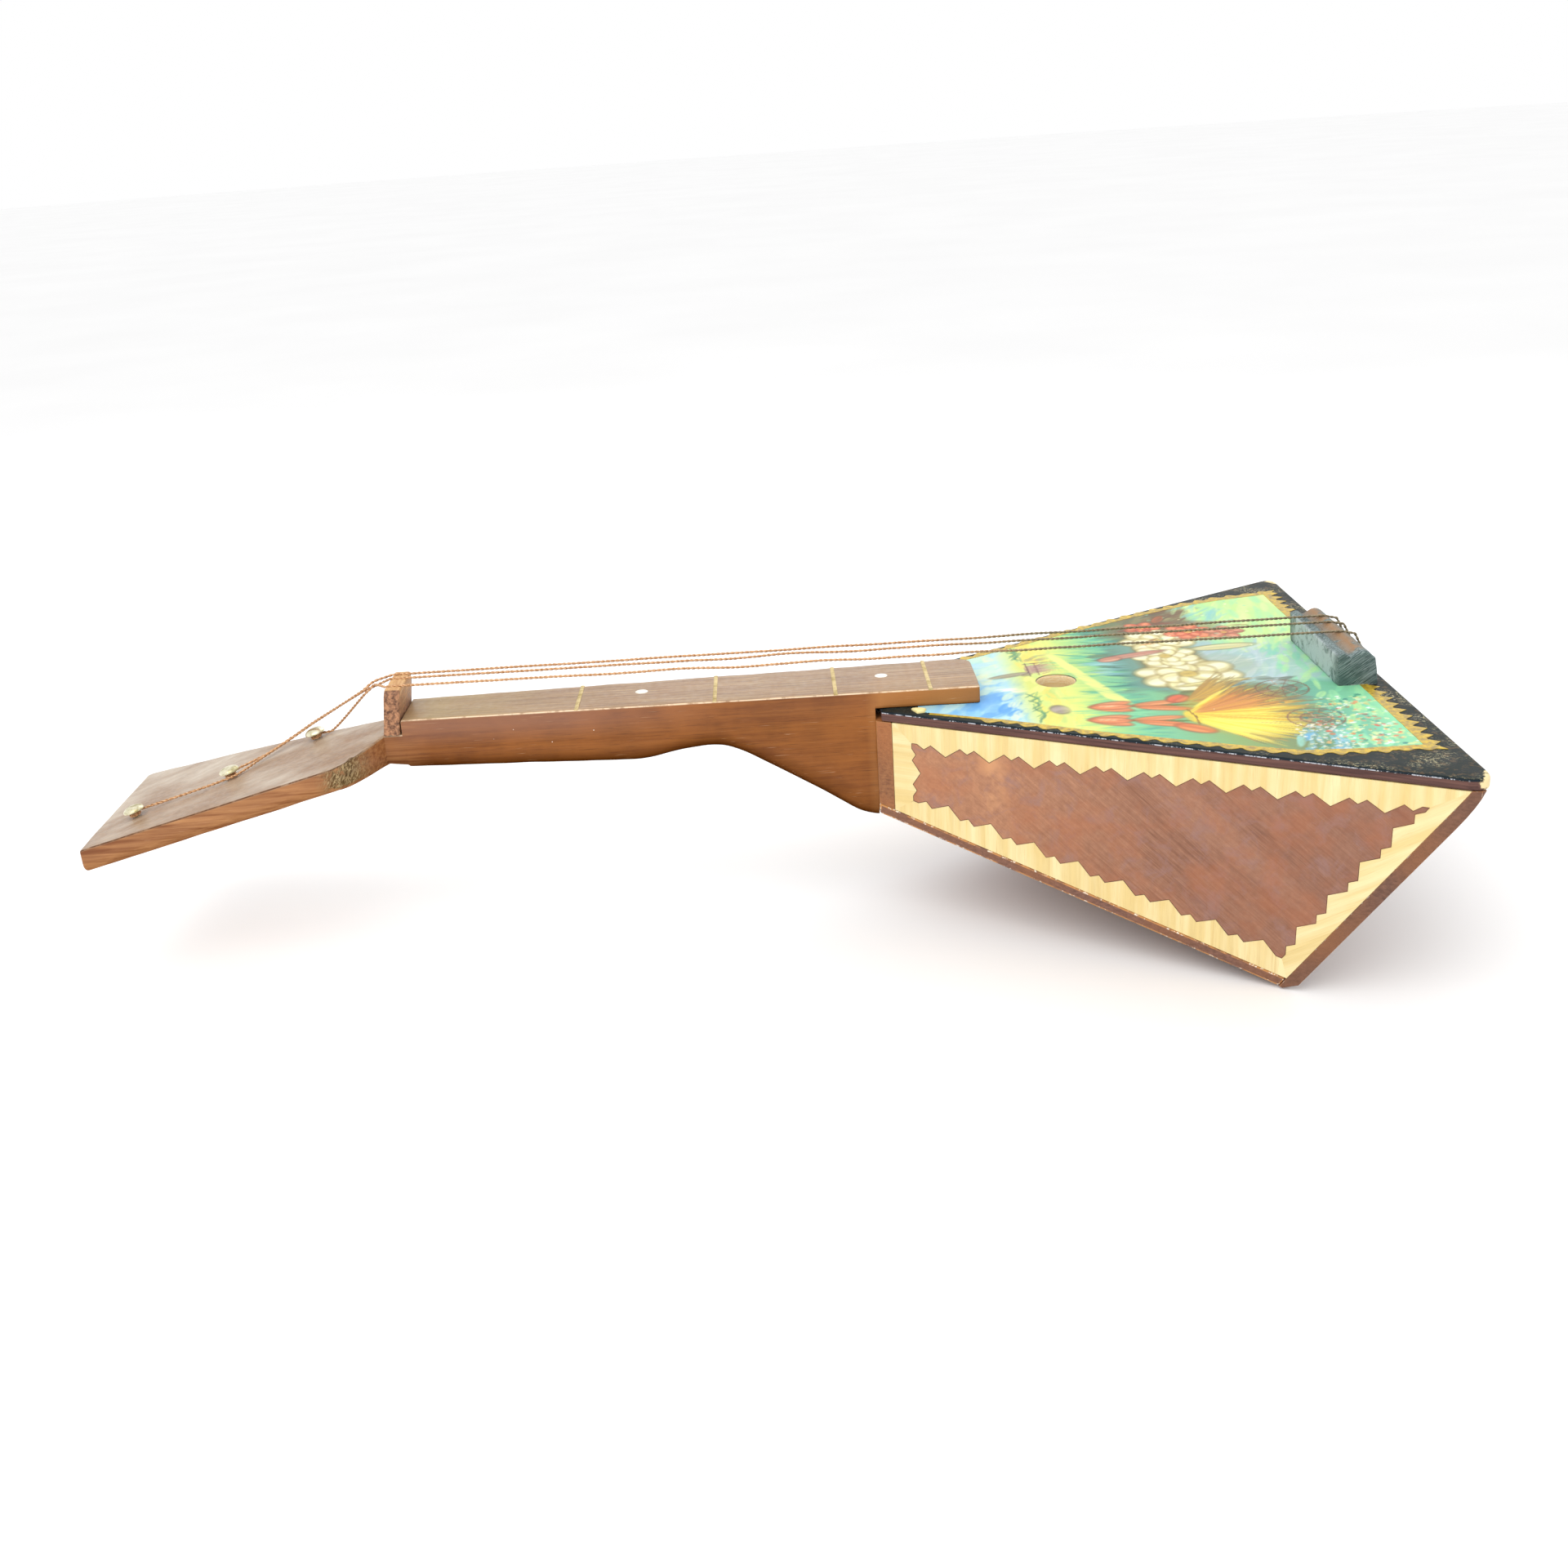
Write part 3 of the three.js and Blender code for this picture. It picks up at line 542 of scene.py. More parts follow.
class Finish:
    """A material being put together: its tree, its shader and the coordinates it reads."""

    def __init__(self, name, roughness=0.5, coat=0.0, metallic=0.0, **plain):
        self.material = bpy.data.materials.new(name)
        self.material.use_nodes = True
        self.tree = self.material.node_tree
        self.shader = self.tree.nodes["Principled BSDF"]
        self.set("Roughness", roughness)
        self.set("Coat Weight", coat)
        self.set("Metallic", metallic)
        for key, value in plain.items():
            self.set(key.replace("_", " "), value)
        places = use(self.tree, "millimetres")
        self.place, self.side = places["Vector"], places["Side Vector"]

    def set(self, key, value):
        if isinstance(value, bpy.types.NodeSocket):
            self.tree.links.new(value, self.shader.inputs[key])
        else:
            self.shader.inputs[key].default_value = value

    def bump(self, height, strength=0.3, distance=0.1):
        made = node(
            self.tree,
            "ShaderNodeBump",
            {"Height": height, "Strength": strength, "Distance": distance * MM},
        )
        self.set("Normal", made.outputs[0])

    def attribute(self, name):
        return node(
            self.tree, "ShaderNodeAttribute", attribute_name=name
        ).outputs["Fac"]

    def part(self, vector, axis):
        return node(self.tree, "ShaderNodeSeparateXYZ", {0: vector}).outputs[axis]


def neck_finish(settings):
    """Stained and varnished wood, worn pale on its upper edges, with painted sheen lightening its top and
    the head's top, and painted shade darkening its rounded underside.
    """
    made = Finish("stained_neck_wood", Coat_Roughness=0.3, Specular_IOR_Level=0.3)
    t = made.tree
    grain = use(t, "grain", vector=made.place, streak_length=60.0, streak_width=1.3)
    base = blend(
        t, grain["Streaks"], colour("6a3813"), list(settings.neck_colour) + [1.0]
    )
    base = blend(
        t, remap(t, noise_value(t, made.place, 0.035, 4, 0.6), 0.4, 0.66, 0, 0.8), base,
        colour("9a5c26"),
    )
    base = blend(t, maths(t, "MULTIPLY", grain["Pores"], 0.5), base, colour("3f1f0b"))
    low = made.attribute("underneath")
    height = made.part(made.place, 2)
    on_neck = remap(t, made.part(made.place, 0), -166.0, -158.0)
    dull = maths(t, "MULTIPLY", remap(t, height, -4.5, 2.5), on_neck)
    by_head = remap(t, made.part(made.place, 0), -55.0, -105.0, 0.08, 0.45)
    base = blend(t, maths(t, "MULTIPLY", dull, by_head), base, colour("957062"))
    tongue = remap(t, made.part(made.place, 0), -8.0, -3.0)
    base = blend(t, maths(t, "MULTIPLY", tongue, 0.5), base, colour("bf8448"))
    # Painted shade: the rounded underside of the neck is darkened almost fully to 351502, where shade
    # falls under it.
    base = blend(t, remap(t, low, 0.0, 1.0, 0.0, 0.97), base, colour("351502"))
    made.set("Specular IOR Level", remap(t, low, 0.0, 0.7, 0.22, 0.0))
    head = remap(t, made.part(made.place, 0), -150.0, -176.0)
    pale_side = blend(t, grain["Streaks"], colour("7c4a2c"), colour("be8a5c"))
    base = blend(t, maths(t, "MULTIPLY", head, 0.8), base, pale_side)
    # Painted sheen: the top is painted lighter and greyer than the sides, over its own fine grain, for
    # the bright surroundings reflected in the varnish.
    above = made.attribute("above")
    fine = use(t, "grain", vector=made.place, streak_length=32.0, streak_width=0.55)
    top_grain_and_sheen = blend(t, fine["Streaks"], colour("71533a"), colour("bb9b72"))
    by_nut = remap(t, made.part(made.place, 0), -112.0, -150.0)
    olive = maths(t, "MULTIPLY", by_nut, maths(t, "SUBTRACT", 1.0, head))
    top_grain_and_sheen = blend(t, maths(t, "MULTIPLY", olive, 0.5), top_grain_and_sheen, colour("a5935a"))
    patches = remap(t, noise_value(t, made.place, 0.09, 4, 0.6), 0.3, 0.7, 0.7, 1.0)
    base = blend(t, maths(t, "MULTIPLY", above, patches), base, top_grain_and_sheen)
    # Painted sheen: pale slanting streaks on the head's top stand in for the reflection of the bright
    # surroundings.
    slant = use(
        t, "grain", vector=turned(t, made.place, z=-24.0), streak_length=45.0,
        streak_width=13.0, warp=0.4,
    )
    warm_top = maths(t, "MULTIPLY", maths(t, "MULTIPLY", above, head), 0.85)
    base = blend(
        t, warm_top, base, blend(t, fine["Streaks"], colour("664426"), colour("9c7048"))
    )
    painted_sheen = maths(
        t, "MULTIPLY", maths(t, "MULTIPLY", above, head),
        maths(t, "MULTIPLY", remap(t, slant["Streaks"], 0.1, 0.95, 0.2, 0.9),
              remap(t, noise_value(t, made.place, 0.035, 3, 0.5), 0.35, 0.6, 0.3, 1.0)),
    )
    base = blend(t, painted_sheen, base, colour("d3c8b6"))
    rough_end = made.attribute("endgrain")
    cuts = use(
        t, "grain", vector=turned(t, made.place, y=55.0), streak_length=3.0,
        streak_width=0.5, warp=0.8,
    )
    grit = remap(t, cuts["Streaks"], 0.35, 0.8)
    rough_end = maths(
        t, "MULTIPLY", rough_end,
        remap(t, noise_value(t, made.place, 0.3, 3, 0.6), 0.34, 0.48),
    )
    base = blend(t, maths(t, "MULTIPLY", rough_end, 0.9), base, colour("4e3d22"))
    base = blend(
        t, maths(t, "MULTIPLY", rough_end, grit), base, colour("b39a70")
    )
    made.set("Coat Weight", maths(t, "MULTIPLY", above, 0.3))
    arris = made.attribute("arris")
    chips = remap(t, noise_value(t, made.place, 0.25, 4, 0.7), 0.36, 0.52, 0.25, 1.0)
    arris_tone = blend(t, head, colour("ecd0ae"), colour("5b3416"))
    arris = remap(t, arris, 0.5, 0.95)
    base = blend(t, maths(t, "MULTIPLY", arris, chips), base, arris_tone)
    marks = use(t, "scratches", vector=made.place, length=14.0, width=0.3, amount=0.35)
    base = blend(t, maths(t, "MULTIPLY", marks["Mask"], 0.4), base, colour("d5b08a"))
    dots = use(t, "specks", vector=made.place, spacing=6.5, radius=0.2, share=0.2)
    base = blend(t, dots["Mask"], base, colour("ecdccb"))
    made.set("Base Color", base)
    rough = remap(t, noise_value(t, made.place, 0.5, 3), 0.3, 0.7, 0.28, 0.5)
    rough = maths(t, "MULTIPLY_ADD", rough_end, 0.4, rough)
    made.set("Roughness", maths(t, "MULTIPLY_ADD", low, 0.35, rough))
    made.bump(
        maths(t, "MULTIPLY_ADD", grain["Height"], 0.4, maths(t, "MULTIPLY", grit, rough_end)),
        0.35,
        0.15,
    )
    return made.material


def light_veneer_finish(name, settings, lean):
    """Pale veneer whose fine figure runs along a direction in the side's plane."""
    made = Finish(name, coat=0.1, Coat_Roughness=0.3, Specular_IOR_Level=0.35)
    t = made.tree
    along = turned(t, made.side, y=lean)
    grain = use(t, "grain", vector=along, streak_length=36.0, streak_width=1.1, warp=0.2)
    bands = use(t, "grain", vector=along, streak_length=120.0, streak_width=5.5, warp=0.1)
    lines = use(t, "grain", vector=along, streak_length=150.0, streak_width=1.6, warp=0.1)
    base = blend(
        t, grain["Streaks"], colour("dac184"), list(settings.light_veneer) + [1.0]
    )
    base = blend(
        t, remap(t, bands["Streaks"], 0.3, 0.8, 0.0, 0.7), base, colour("f3e5b4")
    )
    thin = remap(t, lines["Streaks"], 0.24, 0.06, 0.0, 0.3)
    base = blend(t, thin, base, colour("c79c5c"))
    base = blend(t, maths(t, "MULTIPLY", grain["Pores"], 0.35), base, colour("c2995a"))
    warm = remap(t, noise_value(t, made.side, 0.05, 3), 0.5, 0.8)
    base = blend(t, maths(t, "MULTIPLY", warm, 0.45), base, colour("dcb869"))
    rub = use(t, "worn", vector=made.side, reach=0.35, patch=2.0, amount=0.35)
    base = blend(t, maths(t, "MULTIPLY", rub["Mask"], 0.6), base, colour("8c6a44"))
    made.set("Base Color", base)
    made.set("Roughness", remap(t, grain["Streaks"], 0, 1, 0.34, 0.46))
    made.bump(grain["Height"], 0.12, 0.05)
    return made.material


def brown_veneer_finish(settings):
    """Reddish brown veneer with slanting figure, fine scratches and a few pale specks."""
    made = Finish("brown_field_veneer", coat=0.1, Coat_Roughness=0.3, Specular_IOR_Level=0.35)
    t = made.tree
    along = turned(t, made.side, y=-38.0)
    grain = use(t, "grain", vector=along, streak_length=14.0, streak_width=0.6, warp=0.8)
    broad = use(t, "grain", vector=along, streak_length=60.0, streak_width=8.0, warp=0.6)
    base = blend(
        t, grain["Streaks"], colour("6b3f2b"), list(settings.brown_veneer) + [1.0]
    )
    base = blend(
        t, maths(t, "MULTIPLY", broad["Streaks"], 0.6), base, colour("b58468")
    )
    base = blend(t, maths(t, "MULTIPLY", grain["Pores"], 0.35), base, colour("5c3222"))
    run = made.part(made.side, 0)
    warm = remap(t, run, 95.0, 18.0)
    base = blend(t, maths(t, "MULTIPLY", warm, 0.62), base, colour("c88e66"))
    grey = remap(t, run, 90.0, 180.0, 0.0, 0.55)
    base = blend(t, grey, base, colour("7c5446"))
    mottle = remap(t, noise_value(t, made.side, 0.45, 5, 0.7), 0.35, 0.65, 0.0, 0.4)
    base = blend(t, mottle, base, colour("7b4c36"))
    mauve = remap(t, noise_value(t, made.side, 0.13, 5, 0.65, 0.6), 0.5, 0.66, 0.0, 0.55)
    base = blend(t, mauve, base, colour("93706a"))
    strip = remap(t, free_maths(t, "ABSOLUTE", free_maths(t, "SUBTRACT", run, 43.0)), 7.0, 1.0)
    clouds = remap(t, noise_value(t, made.side, 0.09, 4, 0.6), 0.42, 0.62)
    base = blend(t, maths(t, "MULTIPLY", maths(t, "MULTIPLY", strip, clouds), 0.85), base,
                 colour("dda878"))
    base = blend(t, maths(t, "MULTIPLY", clouds, 0.35), base, colour("a9633c"))
    lines = use(t, "scratches", vector=along, length=10.0, width=0.35, amount=0.3)
    base = blend(t, maths(t, "MULTIPLY", lines["Mask"], 0.2), base, colour("d8ac90"))
    dots = use(t, "specks", vector=made.side, spacing=15.0, radius=0.45, share=0.3)
    base = blend(t, dots["Mask"], base, colour("f4ebe2"))
    made.set("Base Color", base)
    made.set("Roughness", remap(t, grain["Streaks"], 0, 1, 0.3, 0.45))
    made.bump(grain["Height"], 0.18, 0.06)
    return made.material


def rim_finish(name, top, low, bare, patch="8d5b38", chipped=1.0):
    """The stained edge of a plywood plate: grain along it, and bare wood on worn corners."""
    made = Finish(name, coat=0.05, Coat_Roughness=0.35, Specular_IOR_Level=0.35)
    t = made.tree
    grain = use(t, "grain", vector=made.place, streak_length=26.0, streak_width=0.8)
    base = blend(t, grain["Streaks"], colour(low), colour(top))
    base = blend(
        t, remap(t, noise_value(t, made.place, 0.04, 2, 0.5), 0.35, 0.7, 0.0, 0.75), base,
        colour(patch),
    )
    base = blend(t, maths(t, "MULTIPLY", grain["Pores"], 0.6), base, colour("3f2a22"))
    arris = remap(t, made.attribute("arris"), 0.1, 0.7)
    rubbed = remap(t, noise_value(t, made.place, 0.16, 4, 0.65), 0.38, 0.52)
    base = blend(t, maths(t, "MULTIPLY", arris, rubbed), base, colour(bare))
    chips = remap(t, noise_value(t, made.place, 0.7, 3, 0.7), 0.57, 0.62, 0.0, chipped)
    base = blend(t, maths(t, "MULTIPLY", arris, chips), base, colour("efe2cf"))
    made.set("Base Color", base)
    made.set("Roughness", remap(t, grain["Streaks"], 0, 1, 0.4, 0.6))
    made.bump(grain["Height"], 0.3, 0.12)
    return made.material


def board_finish(settings):
    """Glossy dark green paint on top, stained ply at the edge, chipped along the arris."""
    made = Finish("painted_board", Specular_IOR_Level=0.12)
    t = made.tree
    smear = remap(t, noise_value(t, made.place, 0.16, 5, 0.65, 0.6), 0.35, 0.7)
    paint = blend(t, smear, list(settings.board_colour) + [1.0], colour("2e3532"))
    dust = remap(t, noise_value(t, made.place, 1.0, 4, 0.75), 0.52, 0.6)
    corner = made.part(made.place, 0)
    dust = maths(t, "MULTIPLY", dust, remap(t, corner, 95.0, 125.0, 0.1, 0.8))
    dust = maths(t, "MULTIPLY", dust, remap(t, noise_value(t, made.place, 0.07, 3), 0.45, 0.6))
    rust = remap(t, noise_value(t, made.place, 0.35, 4, 0.7), 0.52, 0.62)
    rust = maths(t, "MULTIPLY", rust, remap(t, corner, 110.0, 135.0, 0.15, 0.85))
    paint = blend(t, rust, paint, colour("5a4a36"))
    paint = blend(t, dust, paint, colour("cdc39a"))
    ply = blend(
        t,
        use(t, "grain", vector=made.side, streak_length=24.0, streak_width=0.7)["Streaks"],
        colour("463230"),
        colour("75544c"),
    )
    drop = made.part(made.place, 2)
    ragged = free_maths(t, "MULTIPLY_ADD", noise_value(t, made.place, 0.8, 3), 0.9, drop)
    below = remap(t, ragged, 0.0, -0.35)
    base = blend(t, below, paint, ply)
    slope = made.part(node(t, "ShaderNodeNewGeometry").outputs["Normal"], 2)
    upper = maths(t, "MULTIPLY", remap(t, slope, 0.1, 0.3), remap(t, slope, 0.95, 0.75))
    base = blend(t, upper, base, colour("16222a"))
    chips = remap(t, noise_value(t, made.place, 0.4, 5, 0.8), 0.5, 0.55, 0.0, 0.85)
    low_arris = maths(t, "MULTIPLY", remap(t, slope, 0.12, 0.22), remap(t, slope, 0.5, 0.4))
    base = blend(t, maths(t, "MULTIPLY", low_arris, chips), base, colour("c9ccd4"))
    ragged_end = free_maths(
        t, "MULTIPLY_ADD", noise_value(t, made.place, 0.5, 3), 5.0, made.part(made.side, 0)
    )
    base = blend(t, remap(t, ragged_end, 187.6, 188.2), base, colour("ead6a4"))
    from_hole = vector_maths(
        t, "DISTANCE", made.place, (SOUND_HOLE.x, SOUND_HOLE.y, -PLATE / 2), output=1
    )
    wall = maths(
        t, "MULTIPLY", remap(t, from_hole, 7.6, 7.2), remap(t, drop, -0.1, -0.35)
    )
    bare = blend(
        t, use(t, "grain", vector=made.place, streak_length=3.0, streak_width=0.5)["Streaks"],
        colour("edc88c"), colour("fff0cc"),
    )
    base = blend(t, wall, base, bare)
    made.set("Base Color", base)
    made.set("Roughness", remap(t, smear, 0, 1, 0.42, 0.62))
    made.bump(noise_value(t, made.place, 0.9, 4, 0.6), 0.15, 0.2)
    return made.material


def picture_finish():
    """The painted picture under old varnish: colours from the paint, brush marks in relief."""
    made = Finish("picture_paint", Specular_IOR_Level=0.2)
    t = made.tree
    paint = node(t, "ShaderNodeAttribute", attribute_name="paint").outputs["Color"]
    bristle = use(t, "grain", vector=made.place, streak_length=7.0, streak_width=0.5)
    tone = remap(t, bristle["Streaks"], 0, 1, 0.42, 0.58)
    grey = node(
        t, "ShaderNodeCombineColor", {0: tone, 1: tone, 2: tone}
    ).outputs[0]
    base = blend(t, 0.5, blend(t, 1.0, paint, (0.9, 0.9, 0.88, 1), "MULTIPLY"), grey, "OVERLAY")
    dots = use(t, "specks", vector=made.place, spacing=11.0, radius=0.35, share=0.15)
    base = blend(t, maths(t, "MULTIPLY", dots["Mask"], 0.7), base, colour("f2f2ea"))
    made.set("Base Color", base)
    made.set("Roughness", remap(t, bristle["Streaks"], 0, 1, 0.4, 0.55))
    made.bump(bristle["Height"], 0.2, 0.06)
    return made.material


def gold_finish():
    made = Finish("gold_paint", roughness=0.4)
    t = made.tree
    wash = remap(t, noise_value(t, made.place, 0.5, 4, 0.6), 0.35, 0.65)
    base = blend(t, wash, colour("8f7414"), colour("d8b634"))
    thin = remap(t, noise_value(t, made.place, 1.4, 3, 0.7), 0.6, 0.75)
    base = blend(t, maths(t, "MULTIPLY", thin, 0.6), base, colour("5f5020"))
    made.set("Base Color", base)
    made.set("Metallic", remap(t, wash, 0, 1, 0.05, 0.2))
    made.set("Roughness", remap(t, wash, 0, 1, 0.35, 0.5))
    made.bump(wash, 0.15, 0.1)
    return made.material


def bridge_finish(settings):
    """Slate paint rubbed thin: brushed lines, a pale painted reflection on the front, bare wood in the
    groove.
    """
    made = Finish("slate_bridge_paint", Specular_IOR_Level=0.3)
    t = made.tree
    along = turned(t, made.place, y=35.0)
    lines = use(t, "grain", vector=along, streak_length=8.0, streak_width=0.35, warp=0.3)
    base = blend(
        t, lines["Streaks"], colour("283836"), list(settings.bridge_colour) + [1.0]
    )
    fine = use(t, "scratches", vector=along, length=6.0, width=0.18, amount=0.9)
    base = blend(t, maths(t, "MULTIPLY", fine["Mask"], 0.6), base, colour("a9b9b9"))
    # Painted reflection: pale blue-grey on the faces turned towards -x stands in for the sky reflected on
    # the bridge's front.
    smear = maths(
        t,
        "MULTIPLY",
        remap(t, made.part(node(t, "ShaderNodeNewGeometry").outputs["Normal"], 0), -0.4, -0.8),
        remap(t, noise_value(t, made.place, 0.2, 5, 0.65, 0.8), 0.36, 0.5),
    )
    across = made.part(made.place, 1)
    for low, high in ((26.5, 21.0), (-20.5, -17.0)):
        smear = maths(t, "MULTIPLY", smear, remap(t, across, low, high, 0.15, 1.0))
    base = blend(t, smear, base, colour("b4c2c3"))
    groove = maths(
        t,
        "MULTIPLY",
        made.attribute("worn"),
        remap(t, noise_value(t, made.place, 0.2, 4, 0.6), 0.34, 0.46),
    )
    groove = maths(t, "MULTIPLY", groove, remap(t, across, -19.5, -17.5))
    base = blend(t, groove, base, colour("97714a"))
    chips = use(t, "worn", vector=made.place, reach=0.5, patch=1.6, amount=0.5)
    base = blend(t, maths(t, "MULTIPLY", chips["Mask"], 0.7), base, colour("c9cfca"))
    made.set("Base Color", base)
    made.set("Roughness", remap(t, lines["Streaks"], 0, 1, 0.42, 0.62))
    made.bump(lines["Height"], 0.4, 0.12)
    return made.material


def nut_finish():
    """Bare wood: dark mottled end grain on the ends and front, tan on the worn rear and top."""
    made = Finish("nut_wood", roughness=0.6)
    t = made.tree
    grain = use(t, "grain", vector=turned(t, made.place, z=90.0), streak_length=14.0,
                streak_width=0.7)
    tan = blend(t, grain["Streaks"], colour("b07a44"), colour("dcb27c"))
    mottle = remap(t, noise_value(t, made.place, 0.7, 4, 0.7), 0.38, 0.62)
    dark = blend(t, mottle, colour("57331f"), colour("b98560"))
    base = blend(t, made.attribute("end"), tan, dark)
    edge = use(t, "worn", vector=made.place, reach=0.6, patch=2.0, amount=0.5)
    base = blend(t, maths(t, "MULTIPLY", edge["Mask"], 0.6), base, colour("e9cfa6"))
    made.set("Base Color", base)
    made.set("Roughness", remap(t, mottle, 0, 1, 0.5, 0.75))
    made.bump(grain["Height"], 0.4, 0.15)
    return made.material


def metal_finish(name, dark, light, roughness, size=1.0):
    """Old metal: clean where it is rubbed, brown in patches, with faint scratches."""
    made = Finish(name, metallic=0.95, roughness=roughness)
    t = made.tree
    patch = remap(t, noise_value(t, made.place, 0.6 / size, 4, 0.65), 0.4, 0.65)
    base = blend(t, patch, colour(light), colour(dark))
    lines = use(t, "scratches", vector=made.place, length=5.0 * size, width=0.12 * size,
                amount=0.8)
    base = blend(t, maths(t, "MULTIPLY", lines["Mask"], 0.4), base, colour("fff4d0"))
    made.set("Base Color", base)
    made.set("Roughness", remap(t, patch, 0, 1, roughness, roughness + 0.2))
    made.bump(patch, 0.1, 0.05)
    return made.material


def wire_finish():
    """Bronze wire: orange brown over the neck, with painted shade making it a darker grey brown over the
    body.
    """
    made = Finish("string_wire", metallic=0.75)
    t = made.tree
    patch = remap(t, noise_value(t, made.place, 1.5, 4, 0.65), 0.4, 0.65)
    # Painted shade: the wire is painted darker and greyer where it runs over the body.
    shaded_over_body = remap(t, made.part(made.place, 0), 15.0, 55.0)
    worn = blend(t, shaded_over_body, colour("e2b88e"), colour("a09278"))
    dull = blend(t, shaded_over_body, colour("b08055"), colour("726853"))
    made.set("Base Color", blend(t, patch, worn, dull))
    made.set("Roughness", remap(t, patch, 0, 1, 0.45, 0.6))
    made.bump(patch, 0.1, 0.05)
    return made.material


def dot_finish():
    """Milky plastic with a faint cloudy figure."""
    made = Finish("dot_plastic", roughness=0.25, coat=0.3)
    t = made.tree
    cloud = remap(t, noise_value(t, made.place, 0.8, 3), 0.35, 0.65)
    made.set("Base Color", blend(t, cloud, colour("f6f2e6"), colour("dcd8cc")))
    made.set("Roughness", remap(t, cloud, 0, 1, 0.2, 0.35))
    return made.material


def raw_wood_finish(name, pale, dark):
    """Unfinished wood inside the body."""
    made = Finish(name, roughness=0.7)
    t = made.tree
    grain = use(t, "grain", vector=made.place, streak_length=45.0, streak_width=1.6)
    base = blend(t, grain["Streaks"], colour(dark), colour(pale))
    base = blend(t, maths(t, "MULTIPLY", grain["Pores"], 0.4), base, colour("a9824f"))
    dust = remap(t, noise_value(t, made.place, 0.2, 4), 0.5, 0.8)
    base = blend(t, maths(t, "MULTIPLY", dust, 0.3), base, colour("cfc6b4"))
    made.set("Base Color", base)
    made.set("Roughness", remap(t, grain["Streaks"], 0, 1, 0.6, 0.8))
    made.bump(grain["Height"], 0.25, 0.1)
    return made.material


def floor_finish():
    made = Finish("pale_floor", roughness=0.9)
    t = made.tree
    tone = remap(t, noise_value(t, made.place, 0.004, 2), 0.3, 0.7)
    made.set("Base Color", blend(t, tone, colour("fdfdfd"), colour("fafafa")))
    return made.material


# ---- Geometry Nodes ----


def grown(name, mesh, tree, values):
    """The plain mesh object that a Geometry Nodes tree makes of a mesh."""
    source = linked(name + "_source", mesh)
    modifier = source.modifiers.new("Grow", "NODES")
    modifier.node_group = tree
    for item in tree.interface.items_tree:
        if item.item_type == "SOCKET" and item.in_out == "INPUT" and item.name in values:
            modifier[item.identifier] = values[item.name]
    depsgraph = bpy.context.evaluated_depsgraph_get()
    made = bpy.data.meshes.new_from_object(
        source.evaluated_get(depsgraph),
        preserve_all_data_layers=True,
        depsgraph=depsgraph,
    )
    source.modifiers.remove(modifier)
    bpy.data.objects.remove(source)
    if not made.polygons:
        raise RuntimeError(f"{name}: its node tree made nothing")
    made.name = name
    return linked(name, made)


def copies_tree():
    """Sets a copy of an object on every point, turned and sized by the point's own values."""
    tree, entry, leave = new_group(
        "Set out copies",
        "GeometryNodeTree",
        [
            ("Points", "NodeSocketGeometry", None),
            ("Copy", "NodeSocketObject", None),
            ("Size", NUMBER, 1.0),
            ("Finish", "NodeSocketMaterial", None),
        ],
        [("Geometry", "NodeSocketGeometry")],
    )
    shape = node(tree, "GeometryNodeObjectInfo", {"Object": entry["Copy"]})
    turn = node(
        tree, "GeometryNodeInputNamedAttribute", {"Name": "turn"}, data_type="FLOAT_VECTOR"
    )
    stretch = node(
        tree,
        "GeometryNodeInputNamedAttribute",
        {"Name": "stretch"},
        data_type="FLOAT_VECTOR",
    )
    rotation = node(
        tree, "FunctionNodeEulerToRotation", {0: turn.outputs["Attribute"]}
    ).outputs[0]
    size = node(
        tree,
        "ShaderNodeVectorMath",
        {0: stretch.outputs["Attribute"], "Scale": entry["Size"]},
        operation="SCALE",
    ).outputs[0]
    copies = node(
        tree,
        "GeometryNodeInstanceOnPoints",
        {
            "Points": entry["Points"],
            "Instance": shape.outputs["Geometry"],
            "Rotation": rotation,
            "Scale": size,
        },
    )
    real = node(tree, "GeometryNodeRealizeInstances", {0: copies.outputs[0]})
    painted = node(
        tree,
        "GeometryNodeSetMaterial",
        {"Geometry": real.outputs[0], "Material": entry["Finish"]},
    )
    tree.links.new(painted.outputs[0], leave["Geometry"])
    return tree


